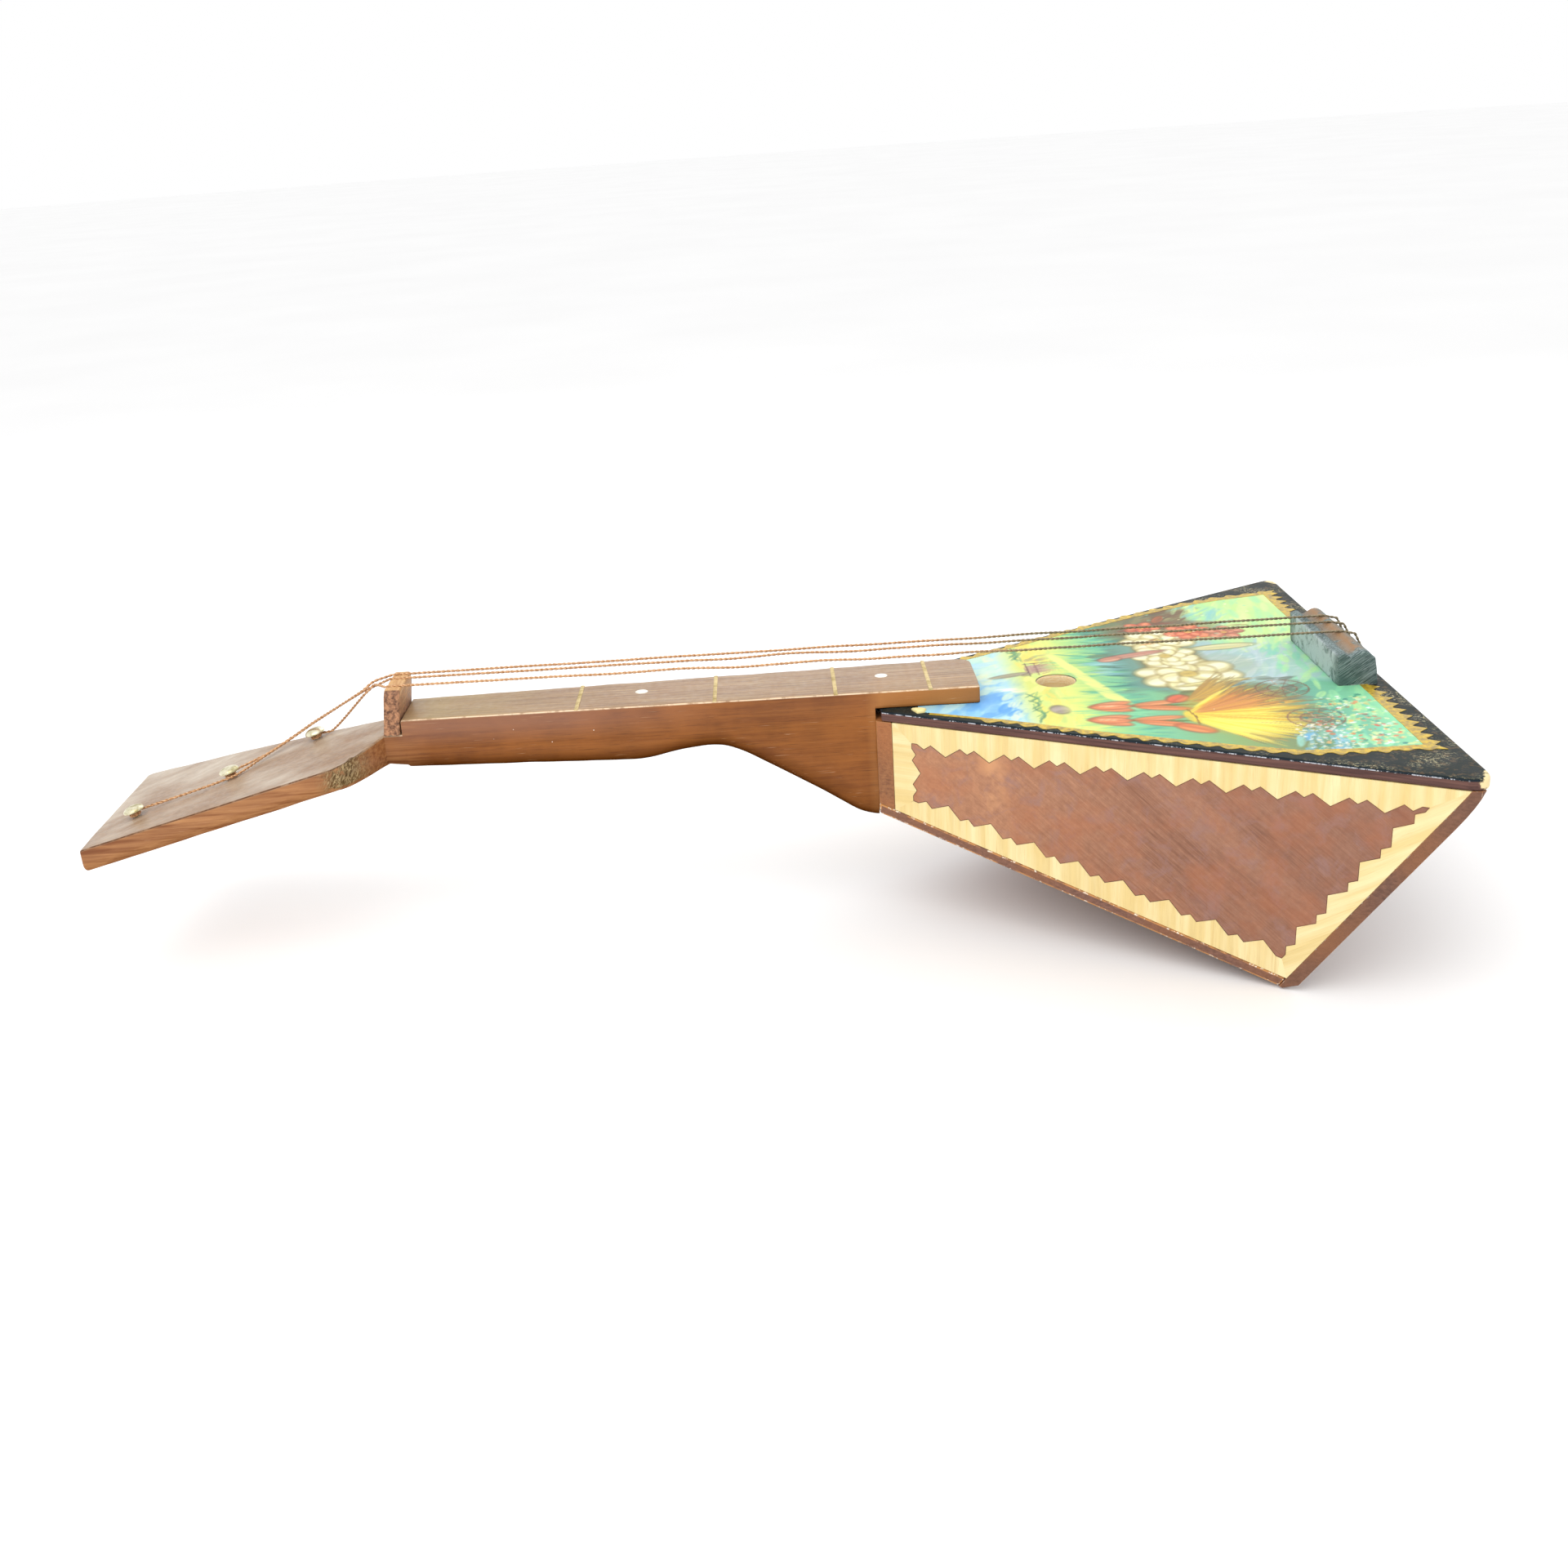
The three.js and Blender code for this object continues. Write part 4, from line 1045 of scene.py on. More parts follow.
def wire_tree():
    """Two plies of wire twisted round a path."""
    tree, entry, leave = new_group(
        "Twisted wire",
        "GeometryNodeTree",
        [
            ("Path", "NodeSocketGeometry", None),
            ("Wire Radius", NUMBER, 0.0002),
            ("Ply Offset", NUMBER, 0.0002),
            ("Twist Pitch", NUMBER, 0.003),
            ("Step", NUMBER, 0.0005),
            ("Sides", "NodeSocketInt", 7),
            ("Finish", "NodeSocketMaterial", None),
        ],
        [("Geometry", "NodeSocketGeometry")],
    )
    curve = node(tree, "GeometryNodeMeshToCurve", {0: entry["Path"]}).outputs[0]
    even = node(tree, "GeometryNodeResampleCurve", mode="LENGTH")
    tree.links.new(curve, even.inputs["Curve"])
    tree.links.new(entry["Step"], even.inputs["Length"])
    run = node(tree, "GeometryNodeSplineParameter").outputs["Length"]
    turns = free_maths(tree, "DIVIDE", run, entry["Twist Pitch"])
    angle = free_maths(tree, "MULTIPLY", turns, 2 * math.pi)
    side = node(tree, "GeometryNodeInputNormal").outputs[0]
    tangent = node(tree, "GeometryNodeInputTangent").outputs[0]
    up = vector_maths(tree, "CROSS_PRODUCT", tangent, side)
    swing = vector_maths(
        tree,
        "ADD",
        scaled(tree, side, free_maths(tree, "COSINE", angle)),
        scaled(tree, up, free_maths(tree, "SINE", angle)),
    )
    ring = node(
        tree,
        "GeometryNodeCurvePrimitiveCircle",
        {"Resolution": entry["Sides"], "Radius": entry["Wire Radius"]},
    ).outputs[0]
    join = node(tree, "GeometryNodeJoinGeometry")
    for sign in (1.0, -1.0):
        offset = scaled(
            tree, swing, free_maths(tree, "MULTIPLY", entry["Ply Offset"], sign)
        )
        ply = node(
            tree,
            "GeometryNodeSetPosition",
            {"Geometry": even.outputs["Curve"], "Offset": offset},
        )
        wire = node(
            tree,
            "GeometryNodeCurveToMesh",
            {"Curve": ply.outputs[0], "Profile Curve": ring, "Fill Caps": True},
        )
        tree.links.new(wire.outputs[0], join.inputs[0])
    real = node(tree, "GeometryNodeRealizeInstances", {0: join.outputs[0]})
    painted = node(
        tree,
        "GeometryNodeSetMaterial",
        {"Geometry": real.outputs[0], "Material": entry["Finish"]},
    )
    tree.links.new(painted.outputs[0], leave["Geometry"])
    return tree


def teeth_tree():
    """A row of flat teeth along a path, each a little different, set by the path's direction."""
    tree, entry, leave = new_group(
        "Row of teeth",
        "GeometryNodeTree",
        [
            ("Path", "NodeSocketGeometry", None),
            ("Tooth", "NodeSocketObject", None),
            ("Pitch", NUMBER, 0.005),
            ("Variation", NUMBER, 0.25),
            ("Seed", "NodeSocketInt", 1),
            ("Finish", "NodeSocketMaterial", None),
        ],
        [("Geometry", "NodeSocketGeometry")],
    )
    curve = node(tree, "GeometryNodeMeshToCurve", {0: entry["Path"]}).outputs[0]
    even = node(tree, "GeometryNodeResampleCurve", mode="LENGTH")
    tree.links.new(curve, even.inputs["Curve"])
    tree.links.new(entry["Pitch"], even.inputs["Length"])
    tangent = node(tree, "GeometryNodeInputTangent").outputs[0]
    facing = node(
        tree, "FunctionNodeAlignRotationToVector", {"Vector": tangent}, axis="X"
    ).outputs[0]
    low = free_maths(tree, "SUBTRACT", 1.0, entry["Variation"])
    high = free_maths(tree, "ADD", 1.0, entry["Variation"])
    size = node(
        tree,
        "FunctionNodeRandomValue",
        {"Min": (1, 1, 1), "Max": (1, 1, 1), "Seed": entry["Seed"]},
        data_type="FLOAT_VECTOR",
    )
    for socket, value in (("Min", low), ("Max", high)):
        pair = node(tree, "ShaderNodeCombineXYZ", {0: value, 1: value, 2: 1.0})
        tree.links.new(pair.outputs[0], size.inputs[socket])
    shape = node(tree, "GeometryNodeObjectInfo", {"Object": entry["Tooth"]})
    copies = node(
        tree,
        "GeometryNodeInstanceOnPoints",
        {
            "Points": even.outputs["Curve"],
            "Instance": shape.outputs["Geometry"],
            "Rotation": facing,
            "Scale": size.outputs[0],
        },
    )
    real = node(tree, "GeometryNodeRealizeInstances", {0: copies.outputs[0]})
    painted = node(
        tree,
        "GeometryNodeSetMaterial",
        {"Geometry": real.outputs[0], "Material": entry["Finish"]},
    )
    tree.links.new(painted.outputs[0], leave["Geometry"])
    return tree


# ---- Settings ----


class BodySettings(bpy.types.PropertyGroup):
    """Sizes and colours of the body."""

    edge_round: FloatProperty(
        name="Edge rounding",
        description="Radius on the arrises of the soundboard and plates",
        default=0.8 * MM,
        min=0.1 * MM,
        max=1.5 * MM,
        unit="LENGTH",
    )
    paint_pitch: FloatProperty(
        name="Paint detail",
        description="Spacing of the points that hold the picture's colours",
        default=0.44 * MM,
        min=0.3 * MM,
        max=2 * MM,
        unit="LENGTH",
    )
    picture_seed: IntProperty(
        name="Picture seed",
        description="Starts the random brush strokes of the picture",
        default=11,
        min=0,
    )
    board_colour: FloatVectorProperty(
        name="Board paint",
        description="Dark paint around the picture",
        default=tuple(colour("101a1a")[:3]),
        size=3,
        subtype="COLOR",
    )
    light_veneer: FloatVectorProperty(
        name="Light veneer",
        description="Toothed strips around the sides",
        default=tuple(colour("e6cd8c")[:3]),
        size=3,
        subtype="COLOR",
    )
    brown_veneer: FloatVectorProperty(
        name="Brown veneer",
        description="Field in the middle of the sides",
        default=tuple(colour("a5765c")[:3]),
        size=3,
        subtype="COLOR",
    )


class NeckSettings(bpy.types.PropertyGroup):
    """Sizes and colours of the neck, nut and bridge."""

    top_round: FloatProperty(
        name="Upper edge",
        description="Radius along the fingerboard's edges",
        default=0.7 * MM,
        min=0.2 * MM,
        max=1.5 * MM,
        unit="LENGTH",
    )
    under_round: FloatProperty(
        name="Lower edge",
        description="Radius along the underside of the neck",
        default=3.6 * MM,
        min=1 * MM,
        max=5 * MM,
        unit="LENGTH",
    )
    neck_colour: FloatVectorProperty(
        name="Neck stain",
        description="Lighter tone of the neck's wood",
        default=tuple(colour("8c5422")[:3]),
        size=3,
        subtype="COLOR",
    )
    bridge_colour: FloatVectorProperty(
        name="Bridge paint",
        description="Slate paint of the bridge",
        default=tuple(colour("5f7573")[:3]),
        size=3,
        subtype="COLOR",
    )


class FittingSettings(bpy.types.PropertyGroup):
    """Sizes of the tacks, frets, dots and strings."""

    tack_radius: FloatProperty(
        name="Tack head",
        description="Radius of the domed tack heads",
        default=3.4 * MM,
        min=2 * MM,
        max=4 * MM,
        unit="LENGTH",
    )
    dot_radius: FloatProperty(
        name="Dot radius",
        description="Radius of the position dots",
        default=2.15 * MM,
        min=1 * MM,
        max=3 * MM,
        unit="LENGTH",
    )
    wire_radius: FloatProperty(
        name="Wire radius",
        description="Radius of one ply of a string",
        default=0.25 * MM,
        min=0.1 * MM,
        max=0.3 * MM,
        unit="LENGTH",
    )
    twist_pitch: FloatProperty(
        name="Twist pitch",
        description="Length of one turn of a string's two plies",
        default=3.2 * MM,
        min=1 * MM,
        max=10 * MM,
        unit="LENGTH",
    )


class StageSettings(bpy.types.PropertyGroup):
    """Camera and lights."""

    lens: FloatProperty(
        name="Lens", description="Focal length in millimetres", default=37.5, min=10
    )
    key_power: FloatProperty(
        name="Key light", description="Power of the main soft light", default=3.2, unit="POWER"
    )
    sky: FloatProperty(
        name="Surroundings",
        description="Brightness of the white surroundings",
        default=1.0,
        min=0,
    )


class BalalaikaSettings(bpy.types.PropertyGroup):
    """All settings of the instrument."""

    body: PointerProperty(type=BodySettings)
    neck: PointerProperty(type=NeckSettings)
    fittings: PointerProperty(type=FittingSettings)
    stage: PointerProperty(type=StageSettings)


# ---- Soundboard ----


def board_outline():
    """The soundboard's outline in plan, with rounded tail corners."""

    def on_side(distance, sign):
        x = BODY_LENGTH - distance * math.cos(SIDE_ANGLE)
        return x, sign * (half_width(BODY_LENGTH) - distance * math.sin(SIDE_ANGLE))

    points = [(BOARD_FRONT, -half_width(BOARD_FRONT))]
    for sign, cut, first in ((-1, CORNER_CUT["near"], True), (1, CORNER_CUT["far"], False)):
        corner = (BODY_LENGTH, sign * half_width(BODY_LENGTH))
        ends = [on_side(cut, sign), (BODY_LENGTH, sign * (half_width(BODY_LENGTH) - cut))]
        start, stop = ends if first else ends[::-1]
        for i in range(13):
            u = i / 12
            points.append(
                tuple(
                    (1 - u) ** 2 * a + 2 * u * (1 - u) * b + u * u * c
                    for a, b, c in zip(start, corner, stop)
                )
            )
    points.append((BOARD_FRONT, half_width(BOARD_FRONT)))
    return points


def circle(centre, radius, count):
    return [
        (
            centre[0] + radius * math.cos(2 * math.pi * i / count),
            centre[1] + radius * math.sin(2 * math.pi * i / count),
        )
        for i in range(count)
    ]


def plate_mesh(name, outlines, top, thickness, rounding):
    """A flat plate with rounded edges, from its outer outline and any holes, in plan."""
    flat = bpy.data.curves.new(name + "_outline", "CURVE")
    flat.dimensions = "2D"
    flat.fill_mode = "BOTH"
    flat.extrude = thickness / 2 - rounding
    flat.bevel_depth = rounding
    flat.bevel_resolution = 3
    flat.offset = -rounding
    for outline in outlines:
        spline = flat.splines.new("POLY")
        spline.points.add(len(outline) - 1)
        for point, (x, y) in zip(spline.points, outline):
            point.co = (x, y, 0, 1)
        spline.use_cyclic_u = True
    holder = linked(name + "_outline", flat)
    depsgraph = bpy.context.evaluated_depsgraph_get()
    mesh = bpy.data.meshes.new_from_object(holder.evaluated_get(depsgraph))
    bpy.data.objects.remove(holder)
    mesh.name = name
    shift = Matrix.Translation(ORIGIN) @ Matrix.Scale(MM, 4)
    mesh.transform(shift @ Matrix.Translation((0, 0, top - thickness / 2)))
    outward(mesh)
    return mesh


class BALALAIKA_OT_soundboard(bpy.types.Operator):
    """Makes the painted soundboard with its sound hole"""

    bl_idname = "balalaika.soundboard"
    bl_label = "Soundboard"

    def execute(self, context):
        settings = context.scene.balalaika.body
        hole = circle(SOUND_HOLE, SOUND_HOLE_RADIUS, 64)
        mesh = plate_mesh(
            "painted_soundboard",
            [board_outline(), hole],
            0.0,
            PLATE,
            settings.edge_round / MM,
        )
        softly_shaded(mesh, 40)
        piece = linked("painted_soundboard", mesh)
        finished(piece, ["soundboard"], board_finish(settings))
        self.ring()
        return {"FINISHED"}

    def ring(self):
        """The plain ring glued under the soundboard round the sound hole."""
        rings = []
        for radius, z in (
            (SOUND_HOLE_RADIUS, RING_TOP), (SOUND_HOLE_RADIUS, RING_BOTTOM),
            (RING_RADIUS, RING_BOTTOM), (RING_RADIUS, RING_TOP),
        ):
            rings.append([(x, y, z) for x, y in circle(SOUND_HOLE, radius, 64)])
        points, faces = loft(rings + rings[:1])
        mesh = mesh_of("sound_hole_ring", points, faces[:-2])
        outward(mesh)
        softly_shaded(mesh, 40)
        wood = raw_wood_finish("ring_wood", "f8e2b0", "e2bf82")
        finished(linked("sound_hole_ring", mesh), [], wood)


# ---- Picture ----

PICTURE_FRONT, PICTURE_TAIL = 9.0, 149.5
PICTURE_NEAR = ((9, 19.5), (35, 32), (60, 47), (100, 67), (115, 73.5), (130, 75), (149.5, 75.5))
PICTURE_FAR = ((9, 19.5), (32, 31), (60, 47.5), (100, 69), (115, 76), (130, 81), (149.5, 85))


def picture_edge(x, sign):
    edge = PICTURE_NEAR if sign < 0 else PICTURE_FAR
    xs, ys = zip(*edge)
    return sign * np.interp(x, xs, ys)


class Picture:
    """Paint laid stroke by stroke over points on the soundboard, in sRGB."""

    def __init__(self, x, y, seed):
        self.x, self.y = x, y
        self.colour = np.ones((len(x), 3)) * srgb("9fd0d8")
        self.chance = random.Random(seed)

    def cover(self, where, amount, paint):
        held = self.colour[where]
        self.colour[where] = held + (np.array(srgb(paint)) - held) * amount[:, None]

    def nearby(self, x, y, reach):
        return np.nonzero((abs(self.x - x) < reach) & (abs(self.y - y) < reach))[0]

    def wash(self, stops, low, high, soft=7.0):
        """Colours that change evenly along x, between two values of y, with soft borders."""
        xs = [x for x, _ in stops]
        wander = 2.5 * np.sin(self.x * 0.35 + low) + 1.5 * np.sin(self.y * 0.3 + high)
        inside = np.minimum(self.y - low, high - self.y) + wander
        inside = np.minimum(inside, np.minimum(self.x - xs[0], xs[-1] - self.x) + soft)
        amount = np.clip(inside / soft, 0, 1)
        for channel in range(3):
            values = [srgb(paint)[channel] for _, paint in stops]
            held = self.colour[:, channel]
            held += (np.interp(self.x, xs, values) - held) * amount

    def stroke(self, x, y, length, width, angle, paint, strength=0.8, bend=0.0):
        """One brush stroke: an oval with streaks along it."""
        where = self.nearby(x, y, max(length, width) / 2 + 0.5)
        c, s = math.cos(math.radians(angle)), math.sin(math.radians(angle))
        dx, dy = self.x[where] - x, self.y[where] - y
        u = dx * c + dy * s
        v = dy * c - dx * s - bend * u * u / length
        oval = (2 * u / length) ** 2 + (2 * v / width) ** 2
        streak = 0.85 + 0.15 * np.sin(v * 9 / width + self.chance.random() * 6)
        amount = np.clip((1.0 - oval) * 2.2, 0, 1) * streak * strength
        self.cover(where, np.clip(amount, 0, 1), paint)

    def strokes(self, count, xs, ys, paints, length, width, angle, spread=15,
                strength=0.7, bend=0.0):
        """Many strokes with small differences, inside a rectangle."""
        pick = self.chance
        for _ in range(count):
            self.stroke(
                pick.uniform(*xs),
                pick.uniform(*ys),
                length * pick.uniform(0.6, 1.3),
                width * pick.uniform(0.6, 1.3),
                angle + pick.uniform(-spread, spread),
                pick.choice(paints),
                strength * pick.uniform(0.7, 1.1),
                bend * pick.uniform(0.5, 1.2),
            )

    def line(self, points, width, paint, strength=0.8):
        for (x0, y0), (x1, y1) in zip(points, points[1:]):
            length = math.hypot(x1 - x0, y1 - y0)
            steps = max(1, round(length / (1.2 * width)))
            angle = math.degrees(math.atan2(y1 - y0, x1 - x0))
            for i in range(steps + 1):
                u = i / steps
                self.stroke(
                    x0 + (x1 - x0) * u,
                    y0 + (y1 - y0) * u,
                    3.2 * width,
                    width * self.chance.uniform(0.7, 1.2),
                    angle,
                    paint,
                    strength,
                )

    def leaf(self, x, y, length, width, angle, fill, edge, vein=None):
        """A pointed oval with an outline, a lighter middle and a vein."""
        self.stroke(x, y, length * 1.12, width * 1.35, angle, edge, 0.85)
        self.stroke(x, y, length, width, angle, fill, 0.95)
        c, s = math.cos(math.radians(angle)), math.sin(math.radians(angle))
        self.stroke(x + 0.2 * s * width, y - 0.2 * c * width, length * 0.7, width * 0.3,
                    angle, vein or edge, 0.45)

    def blossom(self, x, y, radius, petals, fill, light, edge, heart, squash=1.0):
        """A round flower: a ring of shaded petals, a second smaller ring and a heart."""
        for ring, (share, count) in enumerate(((0.62, petals), (0.34, petals - 2))):
            start = self.chance.uniform(0, 360)
            for i in range(count):
                angle = start + 360 * i / count
                c, s = math.cos(math.radians(angle)), math.sin(math.radians(angle))
                px, py = x + c * radius * share, y + s * radius * share * squash
                size = radius * (0.95 if ring == 0 else 0.7)
                wide = size * 0.85
                self.stroke(px, py, size * 1.1, wide * 1.12, angle, edge, 0.75)
                self.stroke(px, py, size, wide, angle, fill, 0.95)
                self.stroke(px + c * size * 0.12, py + s * size * 0.12, size * 0.6,
                            wide * 0.5, angle, light, 0.7)
        self.stroke(x, y, radius * 0.5, radius * 0.5, 0, edge, 0.5)
        self.stroke(x, y, radius * 0.38, radius * 0.38, 0, heart, 0.9)

    def sheaf(self, x, y, angles, length, count, paints, ends):
        """Stalks that fan out from where they are tied."""
        pick = self.chance
        for i in range(count):
            angle = angles[0] + (angles[1] - angles[0]) * (i + pick.random()) / count
            reach = length(angle) * pick.uniform(0.75, 1.1)
            c, s = math.cos(math.radians(angle)), math.sin(math.radians(angle))
            start = pick.uniform(0, 0.25) * reach
            middle = (start + reach) / 2
            self.stroke(x + c * middle, y + s * middle, reach - start,
                        pick.uniform(0.9, 2.2), angle + pick.uniform(-3, 3),
                        pick.choice(paints), 0.75)
            tip = reach * pick.uniform(0.8, 1.02)
            self.stroke(x + c * tip, y + s * tip, reach * 0.35, pick.uniform(0.6, 1.3),
                        angle + pick.uniform(-5, 5), pick.choice(ends), 0.55)

    def seed_head(self, x, y, radius, paint, light):
        """A ring of dry seeds with spokes."""
        for share in (1.0, 0.55):
            ring = circle((x, y), radius * share, 26)
            self.line(ring + ring[:1], 0.75, paint, 0.5)
        for i in range(11):
            angle = 2 * math.pi * i / 11
            self.line([(x, y), (x + radius * math.cos(angle), y + radius * math.sin(angle))],
                      0.6, light if i % 3 == 0 else paint, 0.4)

    def dabs(self, count, xs, ys, paints, size):
        pick = self.chance
        for _ in range(count):
            self.stroke(pick.uniform(*xs), pick.uniform(*ys), size * pick.uniform(0.6, 1.6),
                        size * pick.uniform(0.6, 1.2), pick.uniform(0, 180),
                        pick.choice(paints), pick.uniform(0.5, 0.95))


def paint_sky(p):
    p.wash([(0, "8fc4f0"), (30, "a6dcf4"), (47, "cdebe6")], -60, 60)
    p.strokes(90, (8, 46), (-34, 10), ["8fd0fa", "a9e0f2", "c8ecee", "84c4f5"], 14, 4, 70, 30)
    p.strokes(50, (28, 46), (6, 36), ["e3f3c4", "c6ecdc", "f0f5c8", "a9e0d8"], 12, 4, 75, 25)
    p.strokes(34, (26, 42), (-29, -8), ["4f9bf0", "69aef4", "80c0f6"], 10, 4, 60, 20, 0.75)
    p.strokes(26, (38, 47), (-34, -10), ["d9f2dc", "e9f7dc", "bfe4e4"], 8, 2.8, 80, 20, 0.8)
    p.strokes(30, (31, 46), (-6, 30), ["d0efe0", "def5e6", "b7e2ee"], 10, 4, 30, 40, 0.65)
    p.strokes(10, (38, 47), (-7, -3), ["ffffff", "e8f8f4"], 8, 1.6, 10, 10, 0.8)


def paint_trees(p):
    p.wash([(47, "dfe77c"), (60, "e9ec86")], -52, 52)
    p.strokes(120, (47, 60), (-48, 48), ["f2f090", "d3e88a", "f3e06a", "bfdc7c"], 9, 3, 88, 22)
    p.strokes(26, (48, 58), (22, 40), ["f6e46c", "f1d862"], 10, 3, 84, 12)
    for x, low, high in ((46.5, -36, -10), (46.8, 26, 38), (60.5, -46, -14), (59.5, 20, 50)):
        steps = 12
        path = [
            (x + p.chance.uniform(-1.3, 1.3), low + (high - low) * i / steps)
            for i in range(steps + 1)
        ]
        p.line(path, 1.0, "5f8f6a", 0.55)
        p.strokes(14, (x - 1, x + 2), (low, high), ["4f8a6c", "6aa56f"], 6, 1.2, 70, 30, 0.5)


def paint_cottage(p):
    """A small timber house with a tall flagpole, beside a stone."""
    p.leaf(42, 10, 15, 3.2, 16, "b5ab8e", "7d7a66")
    for x in range(49, 59):
        p.stroke(x, 15 + 0.15 * (x - 49), 10, 2, 90, "b79088", 0.9)
    p.strokes(14, (50, 58), (10, 20), ["a27870", "c7a298", "8f655e"], 5, 1, 20, 30, 0.6)
    p.line([(49, 9), (49, 21), (58, 22), (60, 9)], 0.8, "6d5048", 0.7)
    p.line([(52, 9.5), (52, 21)], 0.6, "7d5c52", 0.5)
    p.stroke(48, 10, 5, 3, 30, "8a7a6c", 0.8)
    p.strokes(8, (49, 58), (24, 30), ["9b7f70", "8a8a70"], 5, 2, 30, 20, 0.5)
    p.leaf(53, -26, 6.4, 7.5, 15, "b9aaa2", "6f665e", "8d8078")


def paint_meadow(p):
    p.wash(
        [(60, "e2ec80"), (66, "b4dd84"), (74, "80c898"), (82, "55a594"), (90, "4d7a72")],
        -75,
        75,
    )
    p.strokes(60, (60, 70), (-44, 52), ["e4ee88", "bfe486", "a6d98c"], 14, 2.2, 0, 16, 0.6, 0.2)
    p.strokes(150, (66, 84), (-55, 58), ["7fd09c", "5dbd9a", "a6dc8e", "47a08e"], 15, 1.7,
              -6, 18, 0.65, 0.25)
    for i in range(34):
        u = p.chance.random()
        p.stroke(60 + 13 * u, 26 - 48 * u, 11, 3.4, -64 + 20 * u, "eff28e", 0.6)
    p.strokes(70, (76, 90), (-20, 60), ["2f6e68", "3d8078", "56604e", "6c8f86"], 13, 2, -8,
              16, 0.6, 0.2)
    p.strokes(50, (62, 92), (-62, -28), ["86d8a8", "74ccA0", "a6dfa8"], 14, 2.4, -8, 14, 0.65)
    p.strokes(26, (70, 88), (2, 22), ["8fc8d2", "a4d6dc", "7fb4c4"], 11, 2, -6, 14, 0.6)


def paint_ground(p):
    p.wash([(84, "6f7f5c"), (104, "86805a"), (118, "a9b97c"), (124, "b7d98c")], 40, 90)
    # Partly painted reflection: the pale grey-blue of this wash near x 110 to 132 stands in for the sheen
    # on the varnish.
    p.wash([(84, "6f9a8c"), (110, "a4c4c4"), (132, "aed2cc"), (150, "a6e3b8")], -18, 42)
    p.wash([(84, "7fc296"), (100, "8fae6c"), (118, "7d8f66"), (132, "6fb49c"), (150, "95e3b0")], -90, -12)
    p.wash([(113, "c4e690"), (132, "c2ec94"), (150, "d2f69a")], 28, 95)
    p.strokes(60, (88, 118), (52, 80), ["7a6d50", "8f8a68", "5f6a55", "9a8a5e"], 12, 3.4,
              35, 25, 0.6)
    p.strokes(20, (101, 114), (58, 74), ["6a4f38", "7d5f40"], 10, 3.4, 30, 15, 0.6)
    p.strokes(120, (116, 150), (22, 84), ["d9f5a2", "b9eb9c", "9fe0b0", "e6f7a8"], 16, 4,
              80, 16, 0.6)
    p.strokes(30, (112, 130), (48, 80), ["9fd6c8", "88c8c8", "b6e2a4"], 14, 2.4, 60, 18, 0.55)
    # Painted reflection: these pale blue-grey and white strokes are the sheen of the bright surroundings
    # on the varnish.
    p.strokes(70, (104, 142), (-12, 24), ["b9cfda", "cfdfe4", "a8c6cf", "bcd8c8"], 13, 3,
              60, 30, 0.6)
    p.strokes(14, (104, 136), (-8, 22), ["eef4ee", "dfeae2"], 16, 0.8, 40, 40, 0.6)
    p.strokes(110, (130, 150), (-76, 24), ["8fe3b2", "a9eeb4", "7fd6b8", "c2f0a4"], 10, 2.6,
              76, 20, 0.65)
    p.strokes(46, (112, 130), (-60, -8), ["6b7766", "7d8a7c", "59635a"], 10, 3, 10, 30, 0.6)


def paint_flowers(p):
    cream = ("fbf6be", "fffee8", "83662c", "dcc064")
    p.stroke(104, 50, 44, 20, 4, "6a4a38", 0.6)
    p.stroke(98, 16, 26, 66, 0, "7d7444", 0.65)
    p.stroke(113, 6, 26, 30, 10, "b4bca0", 0.5)
    p.blossom(100, 0, 16.5, 8, *cream)
    p.blossom(98, 37, 12.5, 7, *cream)
    p.blossom(97, 20, 11, 7, *cream)
    p.leaf(118, 26, 24, 5.5, 4, "f1ebb4", "8a8558", "c9bb70")
    p.leaf(106, -10, 26, 3.6, 8, "ece3a0", "8f7c48")
    red = ("e5734c", "f7a57c", "8c3f2c", "f3c25a")
    p.blossom(111, 45, 8.5, 6, *red)
    p.blossom(96, 53, 6.5, 5, *red)
    p.blossom(123, 42, 7, 5, "d98062", "efb090", "7c4a38", "e6b25a")
    p.strokes(18, (88, 130), (34, 58), ["8c4a30", "6c3a28", "e88a50"], 8, 1.6, 30, 40, 0.6)
    p.leaf(104, 62, 10, 4, 60, "b0663e", "6c4a30")
    p.leaf(86, 23, 26, 4.6, 14, "cf8f7a", "7c5a4a", "e6b59c")
    p.leaf(78, 20, 9, 4.8, 14, "dc9a80", "8a5a48", "f0c4a8")


def paint_buds(p):
    for x, y, lean in ((69, -26.5, -6), (66.5, -38.5, -12)):
        c, s = math.cos(math.radians(lean)), math.sin(math.radians(lean))
        p.line([(x + 4 * c, y + 4 * s), (x + 24 * c, y + 24 * s)], 1.6, "5f7a3c", 0.85)
        p.leaf(x + 15 * c, y + 15 * s + 2.2, 17, 4.0, lean + 12, "f0965f", "a0603c", "f8b88a")
        p.leaf(x + 16 * c, y + 16 * s - 2.4, 18, 4.4, lean - 10, "ee8750", "a0603c", "f8b88a")
        for spread, side in ((16, 2.0), (-16, -2.0), (0, 0.0)):
            p.leaf(x, y + side, 14, 4.6, lean + 180 + spread, "f29462", "9c583a", "fac096")
        p.stroke(x - 1, y + 0.4, 7, 1.0, lean, "fce0b0", 0.7)
    p.leaf(90, -50, 14, 6, -38, "f08a50", "9a4a30", "f7b070")
    p.leaf(91, -23, 9, 6.5, 40, "e7704c", "8a4230", "f29a70")
    p.stroke(96, -19, 8, 7, 0, "6c6a44", 0.75)


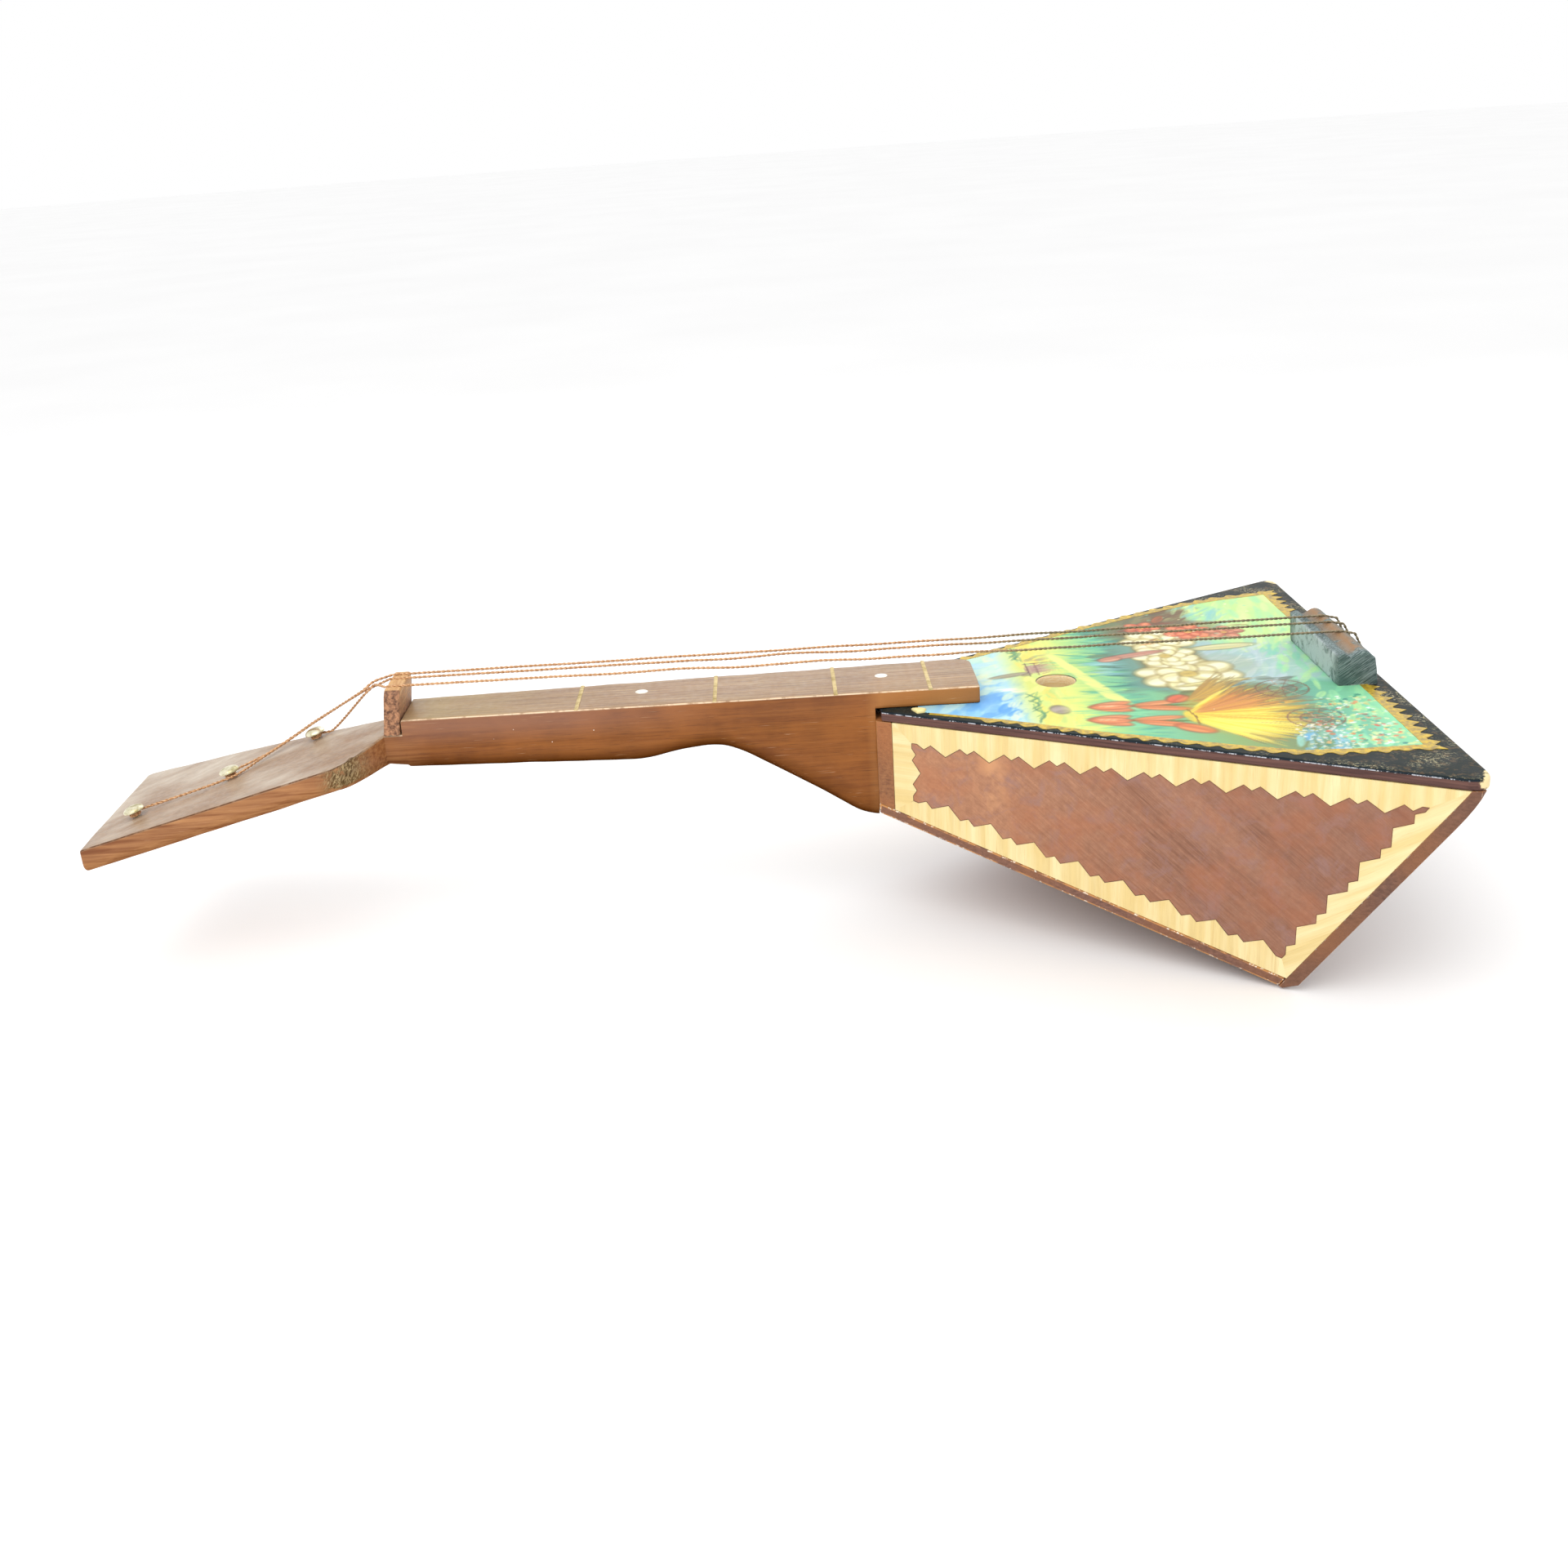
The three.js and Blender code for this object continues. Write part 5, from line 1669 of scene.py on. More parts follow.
def paint_sheaf(p):
    reach = lambda angle: 39 - 0.16 * abs(angle + 10)
    p.stroke(103, -37, 30, 44, 0, "cfa23c", 0.7)
    p.sheaf(93, -26, (-22, 58), lambda angle: 26, 70, ["b48c46", "c09a4c", "d0a648"],
            ["8c7a4c", "9c8a58"])
    p.sheaf(90, -37, (-62, 50), reach, 240, ["f8dc46", "fbe96a", "f0cf3e", "e3a93a"],
            ["8a7348", "b9924a", "6f6a4c", "d0a552"])
    p.sheaf(90, -40, (-58, -18), reach, 50, ["fbe34e", "fdf07c"], ["e3cf5a", "9c8a4c"])
    p.sheaf(91, -37, (6, 44), reach, 36, ["e0a048", "d98f4c", "c9803e"], ["94663c", "7c6a48"])
    p.stroke(91.5, -40, 5, 12, 8, "f4d548", 0.85)
    p.line([(92, -46), (92.5, -40), (91.5, -34)], 0.9, "8a6428", 0.6)


def paint_foreground(p):
    p.seed_head(125, -20, 8.2, "7d5c46", "c9a487")
    p.seed_head(127, -48, 8.4, "876250", "d0ac92")
    p.strokes(24, (116, 130), (-75, -58), ["6fb3e0", "8cc8e4", "9ad6c8"], 8, 2.4, 70, 30, 0.7)
    p.dabs(150, (117, 133), (-76, -52), ["f4f6ea", "ffffff", "e8e2c0", "9fc8e6"], 1.3)
    p.dabs(150, (132, 149), (-75, -30), ["f6f2c2", "ffffff", "d8f2a8", "f0e69a"], 1.6)
    p.dabs(80, (124, 148), (-72, -34), ["ea7a58", "f0a27c", "e05c44", "f5c070"], 1.5)
    p.dabs(50, (120, 146), (-74, -30), ["4a9a84", "5fae8c", "3f7f80"], 1.7)
    p.dabs(40, (100, 149), (20, 84), ["f2fbc8", "8fd6b0"], 1.4)


class BALALAIKA_OT_picture(bpy.types.Operator):
    """Paints a country landscape with flowers on the soundboard"""

    bl_idname = "balalaika.picture"
    bl_label = "Picture"

    def execute(self, context):
        settings = context.scene.balalaika.body
        pitch = settings.paint_pitch / MM
        columns = round((PICTURE_TAIL - PICTURE_FRONT) / pitch)
        reach = max(value for _, value in PICTURE_FAR)
        rows = round(2 * reach / pitch)
        xs = np.linspace(PICTURE_FRONT, PICTURE_TAIL, columns + 1)
        ys = np.linspace(-reach, reach, rows + 1)
        grid_x, grid_y = np.meshgrid(xs, ys, indexing="ij")
        middle_x = (grid_x[:-1, :-1] + grid_x[1:, 1:]) / 2
        middle_y = (grid_y[:-1, :-1] + grid_y[1:, 1:]) / 2
        hole = SOUND_HOLE_RADIUS + 0.5
        kept = (
            (middle_y > picture_edge(middle_x, -1))
            & (middle_y < picture_edge(middle_x, 1))
            & (np.hypot(middle_x - SOUND_HOLE.x, middle_y - SOUND_HOLE.y) > hole)
        )
        i, j = np.nonzero(kept)
        corner = i * (rows + 1) + j
        quads = np.stack([corner, corner + rows + 1, corner + rows + 2, corner + 1], 1)
        used, flat = np.unique(quads, return_inverse=True)
        x, y = grid_x.ravel()[used], grid_y.ravel()[used]
        away = np.hypot(x - SOUND_HOLE.x, y - SOUND_HOLE.y)
        rim = away < hole + 0.7 * pitch
        x[rim] = SOUND_HOLE.x + (x[rim] - SOUND_HOLE.x) * hole / away[rim]
        y[rim] = SOUND_HOLE.y + (y[rim] - SOUND_HOLE.y) * hole / away[rim]
        picture = Picture(x, y, settings.picture_seed)
        for paint in (paint_sky, paint_trees, paint_cottage, paint_meadow, paint_ground,
                      paint_flowers, paint_buds, paint_sheaf, paint_foreground):
            paint(picture)
        points = np.stack([x, y, np.full_like(x, 0.06)], 1)
        mesh = mesh_of("picture", points, flat.reshape(-1, 4).tolist())
        light = np.clip(picture.colour, 0, 1)
        light = np.where(light <= 0.04045, light / 12.92, ((light + 0.055) / 1.055) ** 2.4)
        rgba = np.concatenate([light, np.ones((len(light), 1))], 1)
        put_attribute(mesh, "paint", rgba, "FLOAT_COLOR")
        self.close_below(mesh)
        mesh.shade_smooth()
        mesh.set_sharp_from_angle(angle=math.radians(40))
        finished(linked("picture", mesh), [], picture_finish())
        return {"FINISHED"}

    def close_below(self, mesh):
        """Gives the sheet a little thickness, with a plain underside."""
        work = bmesh.new()
        work.from_mesh(mesh)
        rim = [edge for edge in work.edges if edge.is_boundary]
        made = bmesh.ops.extrude_edge_only(work, edges=rim)["geom"]
        lower = [v for v in made if isinstance(v, bmesh.types.BMVert)]
        for vertex in lower:
            vertex.co.z -= 0.12 * MM
        edges = [
            e for e in made if isinstance(e, bmesh.types.BMEdge) and e.is_boundary
        ]
        bmesh.ops.triangle_fill(work, edges=edges, use_beauty=False)
        bmesh.ops.recalc_face_normals(work, faces=work.faces)
        work.to_mesh(mesh)
        work.free()


# ---- Gold border ----


def band(points, widths, low, high):
    """A flat strip of changing width along a path in plan."""
    left, right = [], []
    for i, (x, y) in enumerate(points):
        x0, y0 = points[max(i - 1, 0)]
        x1, y1 = points[min(i + 1, len(points) - 1)]
        run = math.hypot(x1 - x0, y1 - y0)
        nx, ny = -(y1 - y0) / run, (x1 - x0) / run
        half = widths[i] / 2
        left.append((x + nx * half, y + ny * half))
        right.append((x - nx * half, y - ny * half))
    rings = [
        [(*a, low), (*b, low), (*b, high), (*a, high)] for a, b in zip(left, right)
    ]
    return loft(rings)


def join_parts(parts):
    """Several (points, faces) lists as one."""
    points, faces = [], []
    for more_points, more_faces in parts:
        start = len(points)
        points += list(more_points)
        faces += [tuple(i + start for i in face) for face in more_faces]
    return points, faces


def side_path(sign, offset, start=12.0, count=90):
    """A line beside the picture's long edge, from near the neck to the tail."""
    xs = np.linspace(start, PICTURE_TAIL + 0.2, count)
    return [(x, picture_edge(x, sign) + sign * offset) for x in xs]


class BALALAIKA_OT_border(bpy.types.Operator):
    """Makes the gold border with scallops along the sides and teeth at the tail"""

    bl_idname = "balalaika.border"
    bl_label = "Gold border"

    def execute(self, context):
        material = gold_finish()
        chance = random.Random(5)
        strips = []
        for sign in (-1, 1):
            path = side_path(sign, 0.9)
            widths = [
                (1.3 + 1.5 * i / len(path)) * chance.uniform(0.85, 1.15)
                for i in range(len(path))
            ]
            strips.append(band(path, widths, 0.01, 0.14))
        tail = [
            (PICTURE_TAIL + 1.1, y) for y in np.linspace(-77.6, 87.2, 60)
        ]
        strips.append(band(tail, [2.6 * chance.uniform(0.93, 1.07) for _ in tail], 0.01, 0.15))
        for corner in (
            ((148.6, -75.2), (152.0, -75.2), (154.6, -79.6), (148.6, -77.8)),
            ((148.6, 84.6), (148.6, 87.2), (154.8, 89.0), (152.0, 84.6)),
        ):
            strips.append(loft([[(x, y, z) for x, y in corner] for z in (0.01, 0.16)]))
        points, faces = join_parts(strips)
        mesh = mesh_of("gold_strips", points, faces)
        outward(mesh)
        strips_piece = linked("gold_strips", mesh)
        tooth = self.tooth("gold_tooth", 2.6, 3.4, sharp=True)
        scallop = self.tooth("gold_scallop", 3.2, 1.9, sharp=False)
        rows = teeth_tree()
        for name, path, shape, pitch, seed in (
            ("teeth", [(PICTURE_TAIL + 2.1, y) for y in (-73.5, 85.0)], tooth, 5.4, 3),
            ("near", side_path(-1, 1.9, 30), scallop, 6.1, 4),
            ("far", side_path(1, 1.9, 30)[::-1], scallop, 6.4, 8),
        ):
            count = len(path)
            line = mesh_of(
                name, [(x, y, 0.0) for x, y in path], [], [(k, k + 1) for k in range(count - 1)]
            )
            piece = grown(
                "gold_" + name,
                line,
                rows,
                {
                    "Tooth": shape,
                    "Pitch": pitch * MM,
                    "Variation": 0.16,
                    "Seed": seed,
                    "Finish": material,
                },
            )
            finished(piece, [], material)
        for shape in (tooth, scallop):
            bpy.data.objects.remove(shape)
        finished(strips_piece, [], material)
        self.glue_drop()
        return {"FINISHED"}

    def glue_drop(self):
        """A dried drop of glue beside the tongue, at the border's front end."""
        outline = ((6.6, -16.9), (8.2, -20.9), (10.6, -20.4), (11.4, -18.2), (9.6, -16.8))
        middle = Vector((9.2, -18.8))
        rings = []
        for share, z in ((1.0, -0.05), (0.97, 0.45), (0.82, 0.8), (0.5, 0.95)):
            rings.append([(*(middle + (Vector(p) - middle) * share), z) for p in outline])
        mesh = mesh_of("glue_drop", *loft(rings))
        outward(mesh)
        softly_shaded(mesh, 60)
        material = raw_wood_finish("dried_glue", "fbf0b4", "e6d48c")
        finished(linked("glue_drop", mesh), [], material)

    def tooth(self, name, half, height, sharp):
        """A flat triangle or wave that points to -Y, at the origin, for the row to copy."""
        count = 2 if sharp else 12
        outline = [(-half, 0.9)]
        for i in range(count + 1):
            u = -1 + 2 * i / count
            y = -height * (1 - abs(u)) if sharp else -height * math.cos(u * math.pi / 2) ** 1.5
            outline.append((u * half, y))
        outline.append((half, 0.9))
        rings = [[(x, y, z) for x, y in outline] for z in (0.01, 0.125)]
        points, faces = loft(rings)
        mesh = bpy.data.meshes.new(name)
        mesh.from_pydata([tuple(v * MM for v in p) for p in points], [], faces)
        outward(mesh)
        return linked(name, mesh)


# ---- Plates and sides ----


class BALALAIKA_OT_plates(bpy.types.Operator):
    """Makes the back, the tail plate and the front plate, with worn rounded edges"""

    bl_idname = "balalaika.plates"
    bl_label = "Back, tail and front plates"

    def execute(self, context):
        width = context.scene.balalaika.body.edge_round / MM
        for node_name, name, *tones in (
            ("back_plate", "back_board", "8a6252", "5f4034", "c58a4e"),
            ("tail_plate", "tail_board", "7f5a48", "57392c", "c78648"),
            ("front_plate", "front_board", "a06c44", "74462a", "a87648", "b8703a", 0.0),
        ):
            piece = softened(node_name, name, width)
            material = rim_finish(name + "_wood", *tones)
            finished(piece, [node_name], material)
        return {"FINISHED"}


class BALALAIKA_OT_sides(bpy.types.Operator):
    """Gives the side panels and their inlaid veneers their finishes"""

    bl_idname = "balalaika.sides"
    bl_label = "Inlaid sides"

    def execute(self, context):
        settings = context.scene.balalaika.body
        upright = light_veneer_finish("upright_veneer", settings, 90.0)
        level = light_veneer_finish("level_veneer", settings, 0.0)
        slanted = light_veneer_finish("slanted_veneer", settings, 32.0)
        field = brown_veneer_finish(settings)
        panel = raw_wood_finish("side_panel_wood", "dcc594", "c4a468")
        for side in SIDE_NAMES:
            for part, material in (
                ("veneer_top", upright),
                ("veneer_back", upright),
                ("veneer_front", level),
                ("veneer_tail", slanted),
                ("veneer_field", field),
                ("side_panel", panel),
            ):
                carry(f"{side}_{part}", material)
        return {"FINISHED"}


def glue_tree():
    """A thin round bead along a path."""
    tree, entry, leave = new_group(
        "Glue line",
        "GeometryNodeTree",
        [
            ("Path", "NodeSocketGeometry", None),
            ("Bead Radius", NUMBER, 0.00012),
            ("Finish", "NodeSocketMaterial", None),
        ],
        [("Geometry", "NodeSocketGeometry")],
    )
    curve = node(tree, "GeometryNodeMeshToCurve", {0: entry["Path"]}).outputs[0]
    ring = node(
        tree,
        "GeometryNodeCurvePrimitiveCircle",
        {"Resolution": 6, "Radius": entry["Bead Radius"]},
    ).outputs[0]
    bead = node(tree, "GeometryNodeCurveToMesh", {"Curve": curve, "Profile Curve": ring})
    real = node(tree, "GeometryNodeRealizeInstances", {0: bead.outputs[0]})
    painted = node(
        tree,
        "GeometryNodeSetMaterial",
        {"Geometry": real.outputs[0], "Material": entry["Finish"]},
    )
    tree.links.new(painted.outputs[0], leave["Geometry"])
    return tree


def outer_outline(node_name, sign):
    """The outline of a side veneer's outer face, as points in metres, in order."""
    work = bmesh.new()
    work.from_mesh(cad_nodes[node_name].data)
    bmesh.ops.remove_doubles(work, verts=work.verts, dist=2e-6)
    bmesh.ops.dissolve_limit(
        work, angle_limit=math.radians(2), verts=work.verts, edges=work.edges
    )
    face = max(work.faces, key=lambda f: f.calc_area() * (f.normal.y * sign > 0.5))
    points = [tuple(vertex.co) for vertex in face.verts]
    work.free()
    return points


class BALALAIKA_OT_glue_lines(bpy.types.Operator):
    """Draws the thin dark glue line round the brown veneer's teeth"""

    bl_idname = "balalaika.glue_lines"
    bl_label = "Glue lines"

    def execute(self, context):
        tree = glue_tree()
        material = rim_finish("dark_glue", "5a3a28", "38221a", "7a5640")
        for side, sign in zip(SIDE_NAMES, (-1, 1)):
            points = outer_outline(f"{side}_veneer_field", sign)
            if len(points) < 50:
                raise RuntimeError(f"{side}: the veneer's outline has too few points")
            count = len(points)
            mesh = bpy.data.meshes.new("outline")
            mesh.from_pydata(points, [(i, (i + 1) % count) for i in range(count)], [])
            piece = grown(
                f"{side}_glue_line", mesh, tree, {"Bead Radius": 0.11 * MM, "Finish": material}
            )
            outward(piece.data)
            piece.data.shade_smooth()
            finished(piece, [], material)
        return {"FINISHED"}


def carry(node_name, material):
    """Gives a solid node that stays in view its material."""
    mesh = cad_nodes[node_name].data
    mesh.materials.clear()
    mesh.materials.append(material)


class BALALAIKA_OT_inner_frame(bpy.types.Operator):
    """Gives the linings, braces, neck block and screw inside the body their finishes"""

    bl_idname = "balalaika.inner_frame"
    bl_label = "Inner frame"

    def execute(self, context):
        wood = raw_wood_finish("inner_wood", "ead8a8", "d6bb80")
        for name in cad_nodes:
            if "lining" in name or "brace" in name or name == "neck_block":
                carry(name, wood)
        carry("neck_screw", metal_finish("screw_steel", "5f5a52", "a5a5a2", 0.35))
        return {"FINISHED"}


# ---- Neck ----

UNDERSIDE = (
    (-177, -10.8), (-167, -10), (-159.6, -10.3), (-158.2, -11.4), (-121, -12.4),
    (-83.5, -13.6), (-77, -12.8), (-68, -10.8), (-60, -9.9), (-54, -10.3), (-48, -12.9),
    (-36, -20.3), (-25, -27), (-17.5, -32.2), (-11.4, -36.2), (-6.4, -37.8), (0, -38.4),
)
HEAD_THICKNESS = 8.4
NECK_HALVES = (10.8, 14.8)  # at the nut and at the tongue's end
HEAD_END_HALF = 33.0
SHOULDER_LENGTH, SHOULDER_HALF = 14.0, 29.7
THROAT_FAR_HALF = 7.0


def neck_half(x):
    return float(np.interp(x, (NUT_X, TONGUE_END), NECK_HALVES))


def near_half(x):
    if x >= HEAD_START:
        return neck_half(x)
    shoulder = (HEAD_START - x) / SHOULDER_LENGTH
    if shoulder < 1:
        ease = math.sin(shoulder * math.pi / 2)
        return NECK_HALVES[0] + (SHOULDER_HALF - NECK_HALVES[0]) * ease
    run = (HEAD_START - SHOULDER_LENGTH - x) / (HEAD_START - SHOULDER_LENGTH - HEAD_END)
    return SHOULDER_HALF + (HEAD_END_HALF - SHOULDER_HALF) * run


def far_half(x):
    if x >= HEAD_START:
        return neck_half(x)
    run = max(0.0, (HEAD_START - x) / (HEAD_START - HEAD_END)) ** 0.85
    return THROAT_FAR_HALF + (HEAD_END_HALF - THROAT_FAR_HALF) * run


def underside(x):
    xs, zs = zip(*UNDERSIDE)
    if x < xs[0]:
        return head_top(x) - HEAD_THICKNESS
    spread = 0.3 if x < -155 else 2.2
    return float(np.mean([np.interp(x + d, xs, zs) for d in np.linspace(-spread, spread, 7)]))


def rounding(distance, radius):
    """How far a surface lies back from a corner that is rounded to a radius."""
    if distance >= radius:
        return 0.0
    return radius - math.sqrt(max(0.0, radius**2 - (radius - distance) ** 2))


def section(near, far, top, bottom, over, under):
    """A ring round the neck, (y, z), and for each point its place: above, arris, low."""
    ring = []

    def arc(cy, cz, radius, start, stop, count, marks):
        for i in range(count + 1):
            angle = math.radians(start + (stop - start) * i / count)
            ring.append((cy + radius * math.cos(angle), cz + radius * math.sin(angle), *marks(i / count)))

    def run(y0, z0, y1, z1, count, marks):
        for i in range(1, count):
            u = i / count
            ring.append((y0 + (y1 - y0) * u, z0 + (z1 - z0) * u, *marks))

    arc(-near + over, top - over, over, 180, 90, 6, lambda u: (u, math.sin(math.pi * u), 0))
    run(-near + over, top, far - over, top, 14, (1, 0, 0))
    arc(far - over, top - over, over, 90, 0, 6, lambda u: (1 - u, math.sin(math.pi * u), 0))
    run(far, top - over, far, bottom + under, 6, (0, 0, 0))
    arc(far - under, bottom + under, under, 0, -90, 6, lambda u: (0, 0, min(1, 0.35 + u)))
    run(far - under, bottom, -near + under, bottom, 12, (0, 0, 1))
    arc(-near + under, bottom + under, under, -90, -180, 6, lambda u: (0, 0, min(1, 1.35 - u)))
    run(-near, bottom + under, -near, top - over, 6, (0, 0, 0))
    return ring


def neck_places():
    """Where the rings of the neck stand, closer together at its ends and steps."""
    fine = [0, 0.12, 0.35, 0.7, 1.2, 2, 3.2, 4.6]
    places = [HEAD_END + d for d in fine]
    places += list(np.arange(HEAD_END + 5, -181, 2.5))
    places += list(np.arange(-181, HEAD_START, 0.8))
    places += [HEAD_START, NUT_X - 0.1, NUT_X, NUT_X + 0.25, NUT_X + 0.7]
    places += list(np.arange(-157.5, HEEL_BACK - 0.5, 1.6))
    places += [HEEL_BACK, HEEL_BACK + 0.1]
    places += list(np.arange(HEEL_BACK + 1, TONGUE_END - 5.2, 1.8))
    places += [TONGUE_END - d for d in reversed(fine)]
    return sorted(set(round(float(x), 3) for x in places))


class BALALAIKA_OT_neck(bpy.types.Operator):
    """Carves the neck, heel and paddle head from one piece of wood"""

    bl_idname = "balalaika.neck"
    bl_label = "Neck"

    def execute(self, context):
        settings = context.scene.balalaika.neck
        over, under = settings.top_round / MM, settings.under_round / MM
        rings, marks = [], []
        for x in neck_places():
            from_head, from_tongue = x - HEAD_END, TONGUE_END - x
            near = near_half(x) - rounding(from_head, 0.6) - rounding(from_tongue, 1.2)
            far = far_half(x) - rounding(from_head, 2.6) - rounding(from_tongue, 5.0)
            top = head_top(x) if x < HEAD_START else SEAT_Z if x < NUT_X else FINGERBOARD_Z
            top -= rounding(from_head, 0.6) + rounding(from_tongue, 0.5)
            if NUT_X <= x:
                top -= rounding(x - NUT_X, 0.5)
            bottom = underside(x)
            if x > HEEL_BACK:
                bottom = 0.1
            bottom += rounding(from_head, 0.8)
            height = top - bottom
            low = min(under, 0.42 * height) if x <= HEEL_BACK else 0.4
            ring = section(near, far, top, bottom, min(over, 0.3 * height), low)
            bulge = lambda y: 0.2 * (y / HEAD_END_HALF) ** 2 * max(0.0, 1 - from_head / 20)
            rings.append([(x + bulge(y), y, z) for y, z, *_ in ring])
            rough = float(np.interp(x, (-183, -178, -173, -168), (0, 1, 1, 0)))
            marks += [
                (above, edge, low_mark, rough if y < -near + 1.0 and above < 1 else 0.0)
                for y, _, above, edge, low_mark in ring
            ]
        points, faces = loft(rings)
        mesh = mesh_of("carved_neck", points, faces)
        for i, name in enumerate(("above", "arris", "underneath", "endgrain")):
            put_attribute(mesh, name, [mark[i] for mark in marks])
        outward(mesh)
        roughened(mesh, 9.0, 0.16)
        self.hack_shoulder(mesh)
        softly_shaded(mesh, 50)
        piece = linked("carved_neck", mesh)
        finished(piece, ["neck"], neck_finish(settings))
        return {"FINISHED"}

    def hack_shoulder(self, mesh):
        """Roughens the saw cut between the paddle and the nut."""
        marks = mesh.attributes["endgrain"].data
        for vertex, mark in zip(mesh.vertices, marks):
            if mark.value > 0.5:
                cut = noise.noise(vertex.co / (2.2 * MM)) * 0.7 * MM
                vertex.co += vertex.normal * (cut - 0.25 * MM)


class BALALAIKA_OT_fingerboard_trim(bpy.types.Operator):
    """Sets the frets and the position dots into the fingerboard"""

    bl_idname = "balalaika.fingerboard_trim"
    bl_label = "Frets and dots"

    def execute(self, context):
        settings = context.scene.balalaika.fittings
        copies = copies_tree()
        bar = self.fret_bar()
        disc = self.dot_disc(settings.dot_radius / MM)
        metal = metal_finish("fret_brass", "b29c66", "d6c28e", 0.5, 3.0)
        for name, shape, places, nodes, slot, material in (
            (
                "frets",
                bar,
                [((x, 0, FINGERBOARD_Z), (1, (neck_half(x) - 0.15), 1)) for x in FRETS],
                [f"fret_{i + 1}" for i in range(len(FRETS))],
                "fret_metal",
                metal,
            ),
            (
                "position_dots",
                disc,
                [((x, DOT_Y, FINGERBOARD_Z), (1, 1, 1)) for x in DOTS],
                [f"dot_{i + 1}" for i in range(len(DOTS))],
                "dot_plastic",
                dot_finish(),
            ),
        ):
            spots = mesh_of(name, [place for place, _ in places], [])
            put_attribute(spots, "turn", [(0, 0, 0)] * len(places), "FLOAT_VECTOR")
            put_attribute(spots, "stretch", [size for _, size in places], "FLOAT_VECTOR")
            piece = grown(name, spots, copies, {"Copy": shape, "Size": 1.0, "Finish": material})
            softly_shaded(piece.data, 40)
            finished(piece, nodes, material)
        for shape in (bar, disc):
            bpy.data.objects.remove(shape)
        return {"FINISHED"}

    def fret_bar(self):
        """A low crowned bar, one millimetre to each side in y, to be stretched."""
        profile = [(-0.65, -1.1), (0.65, -1.1), (0.65, 0.08)]
        profile += [(0.65 * math.cos(a), 0.08 + 0.12 * math.sin(a)) for a in np.linspace(0.35, 2.79, 7)]
        profile += [(-0.65, 0.08)]
        rings = [[(x, y, z) for x, z in profile] for y in np.linspace(-1, 1, 13)]
        return small_object("fret_bar", *loft(rings))

    def dot_disc(self, radius):
        """A slightly domed disc."""
        profile = [(0, -1.0), (radius, -1.0), (radius, 0.0), (radius * 0.96, 0.06)]
        profile += [(radius * r, 0.06 + 0.05 * (1 - r * r)) for r in (0.8, 0.5, 0.25, 0)]
        return small_object("dot_disc", *lathe(profile, 48))


def small_object(name, points, faces):
    """An object at the origin, in millimetres made metres, for a node tree to copy."""
    mesh = bpy.data.meshes.new(name)
    mesh.from_pydata([tuple(v * MM for v in p) for p in points], [], faces)
    outward(mesh)
    softly_shaded(mesh, 40)
    return linked(name, mesh)


def lathe(profile, count):
    """A closed solid turned about z from (radius, z) points that start and end on the axis."""
    points = [(0, 0, profile[0][1])]
    faces = []
    rings = profile[1:-1]
    for radius, z in rings:
        points += [(x, y, z) for x, y in circle((0, 0), radius, count)]
    points.append((0, 0, profile[-1][1]))
    last = len(points) - 1
    for j in range(count):
        k = (j + 1) % count
        faces.append((0, 1 + k, 1 + j))
        for i in range(len(rings) - 1):
            a, b = 1 + i * count, 1 + (i + 1) * count
            faces.append((a + j, a + k, b + k, b + j))
        a = 1 + (len(rings) - 1) * count
        faces.append((a + j, a + k, last))
    return points, faces


# ---- Nut and bridge ----


class BALALAIKA_OT_nut(bpy.types.Operator):
    """Makes the tall leaning nut with a notch for each string"""

    bl_idname = "balalaika.nut"
    bl_label = "Nut"

    def execute(self, context):
        low, high, top = -11.3, 10.0, NUT_TOP
        outline = [(low, SEAT_Z + 0.1)] + [(low, z) for z in np.linspace(3, top - 2.4, 7)]
        outline += [
            (low + 2 - 2 * math.cos(a), top - 2 + 2 * math.sin(a))
            for a in np.linspace(0.2, math.pi / 2, 6)
        ]
        for y in np.linspace(low + 2.4, high - 2.6, 90):
            dip = max(
                0.35 * math.exp(-(((y - line) / 0.42) ** 2)) for line, _ in STRING_LINES
            )
            outline.append((float(y), top - dip))
        outline += [
            (high - 2.2 + 2.2 * math.sin(a), top - 2.2 + 2.2 * math.cos(a))
            for a in np.linspace(0.1, math.pi / 2, 6)
        ]
        outline += [(high, z) for z in np.linspace(top - 2.8, 3, 7)] + [(high, SEAT_Z + 0.1)]
        middle = ((low + high) / 2, (SEAT_Z + top) / 2)
        thickness = 5.2
        rings, marks = [], []
        for depth in (0, 0.12, 0.35, 0.7, 1.6, 2.6, 3.6, 4.5, 4.85, 5.08, 5.2):
            inset = rounding(min(depth, thickness - depth), 0.6)
            ring = []
            for y, z in outline:
                dy = inset if y < middle[0] else -inset
                if abs(y - middle[0]) < (high - low) / 2 - 2.4:
                    dy = 0
                dz = -inset if z > SEAT_Z + 0.5 else 0
                lean = NUT_LEAN * (z - SEAT_Z) / (top - SEAT_Z)
                ring.append((HEAD_START + 0.1 + depth + lean, y + dy, z + dz))
                marks.append(1.0 if abs(y - middle[0]) > 9.6 or depth < 0.2 else 0.0)
            rings.append(ring)
        points, faces = loft(rings)
        mesh = mesh_of("string_nut", points, faces)
        put_attribute(mesh, "end", marks)
        outward(mesh)
        roughened(mesh, 3.0, 0.18, 7.0)
        softly_shaded(mesh, 45)
        finished(linked("string_nut", mesh), ["nut"], nut_finish())
        return {"FINISHED"}


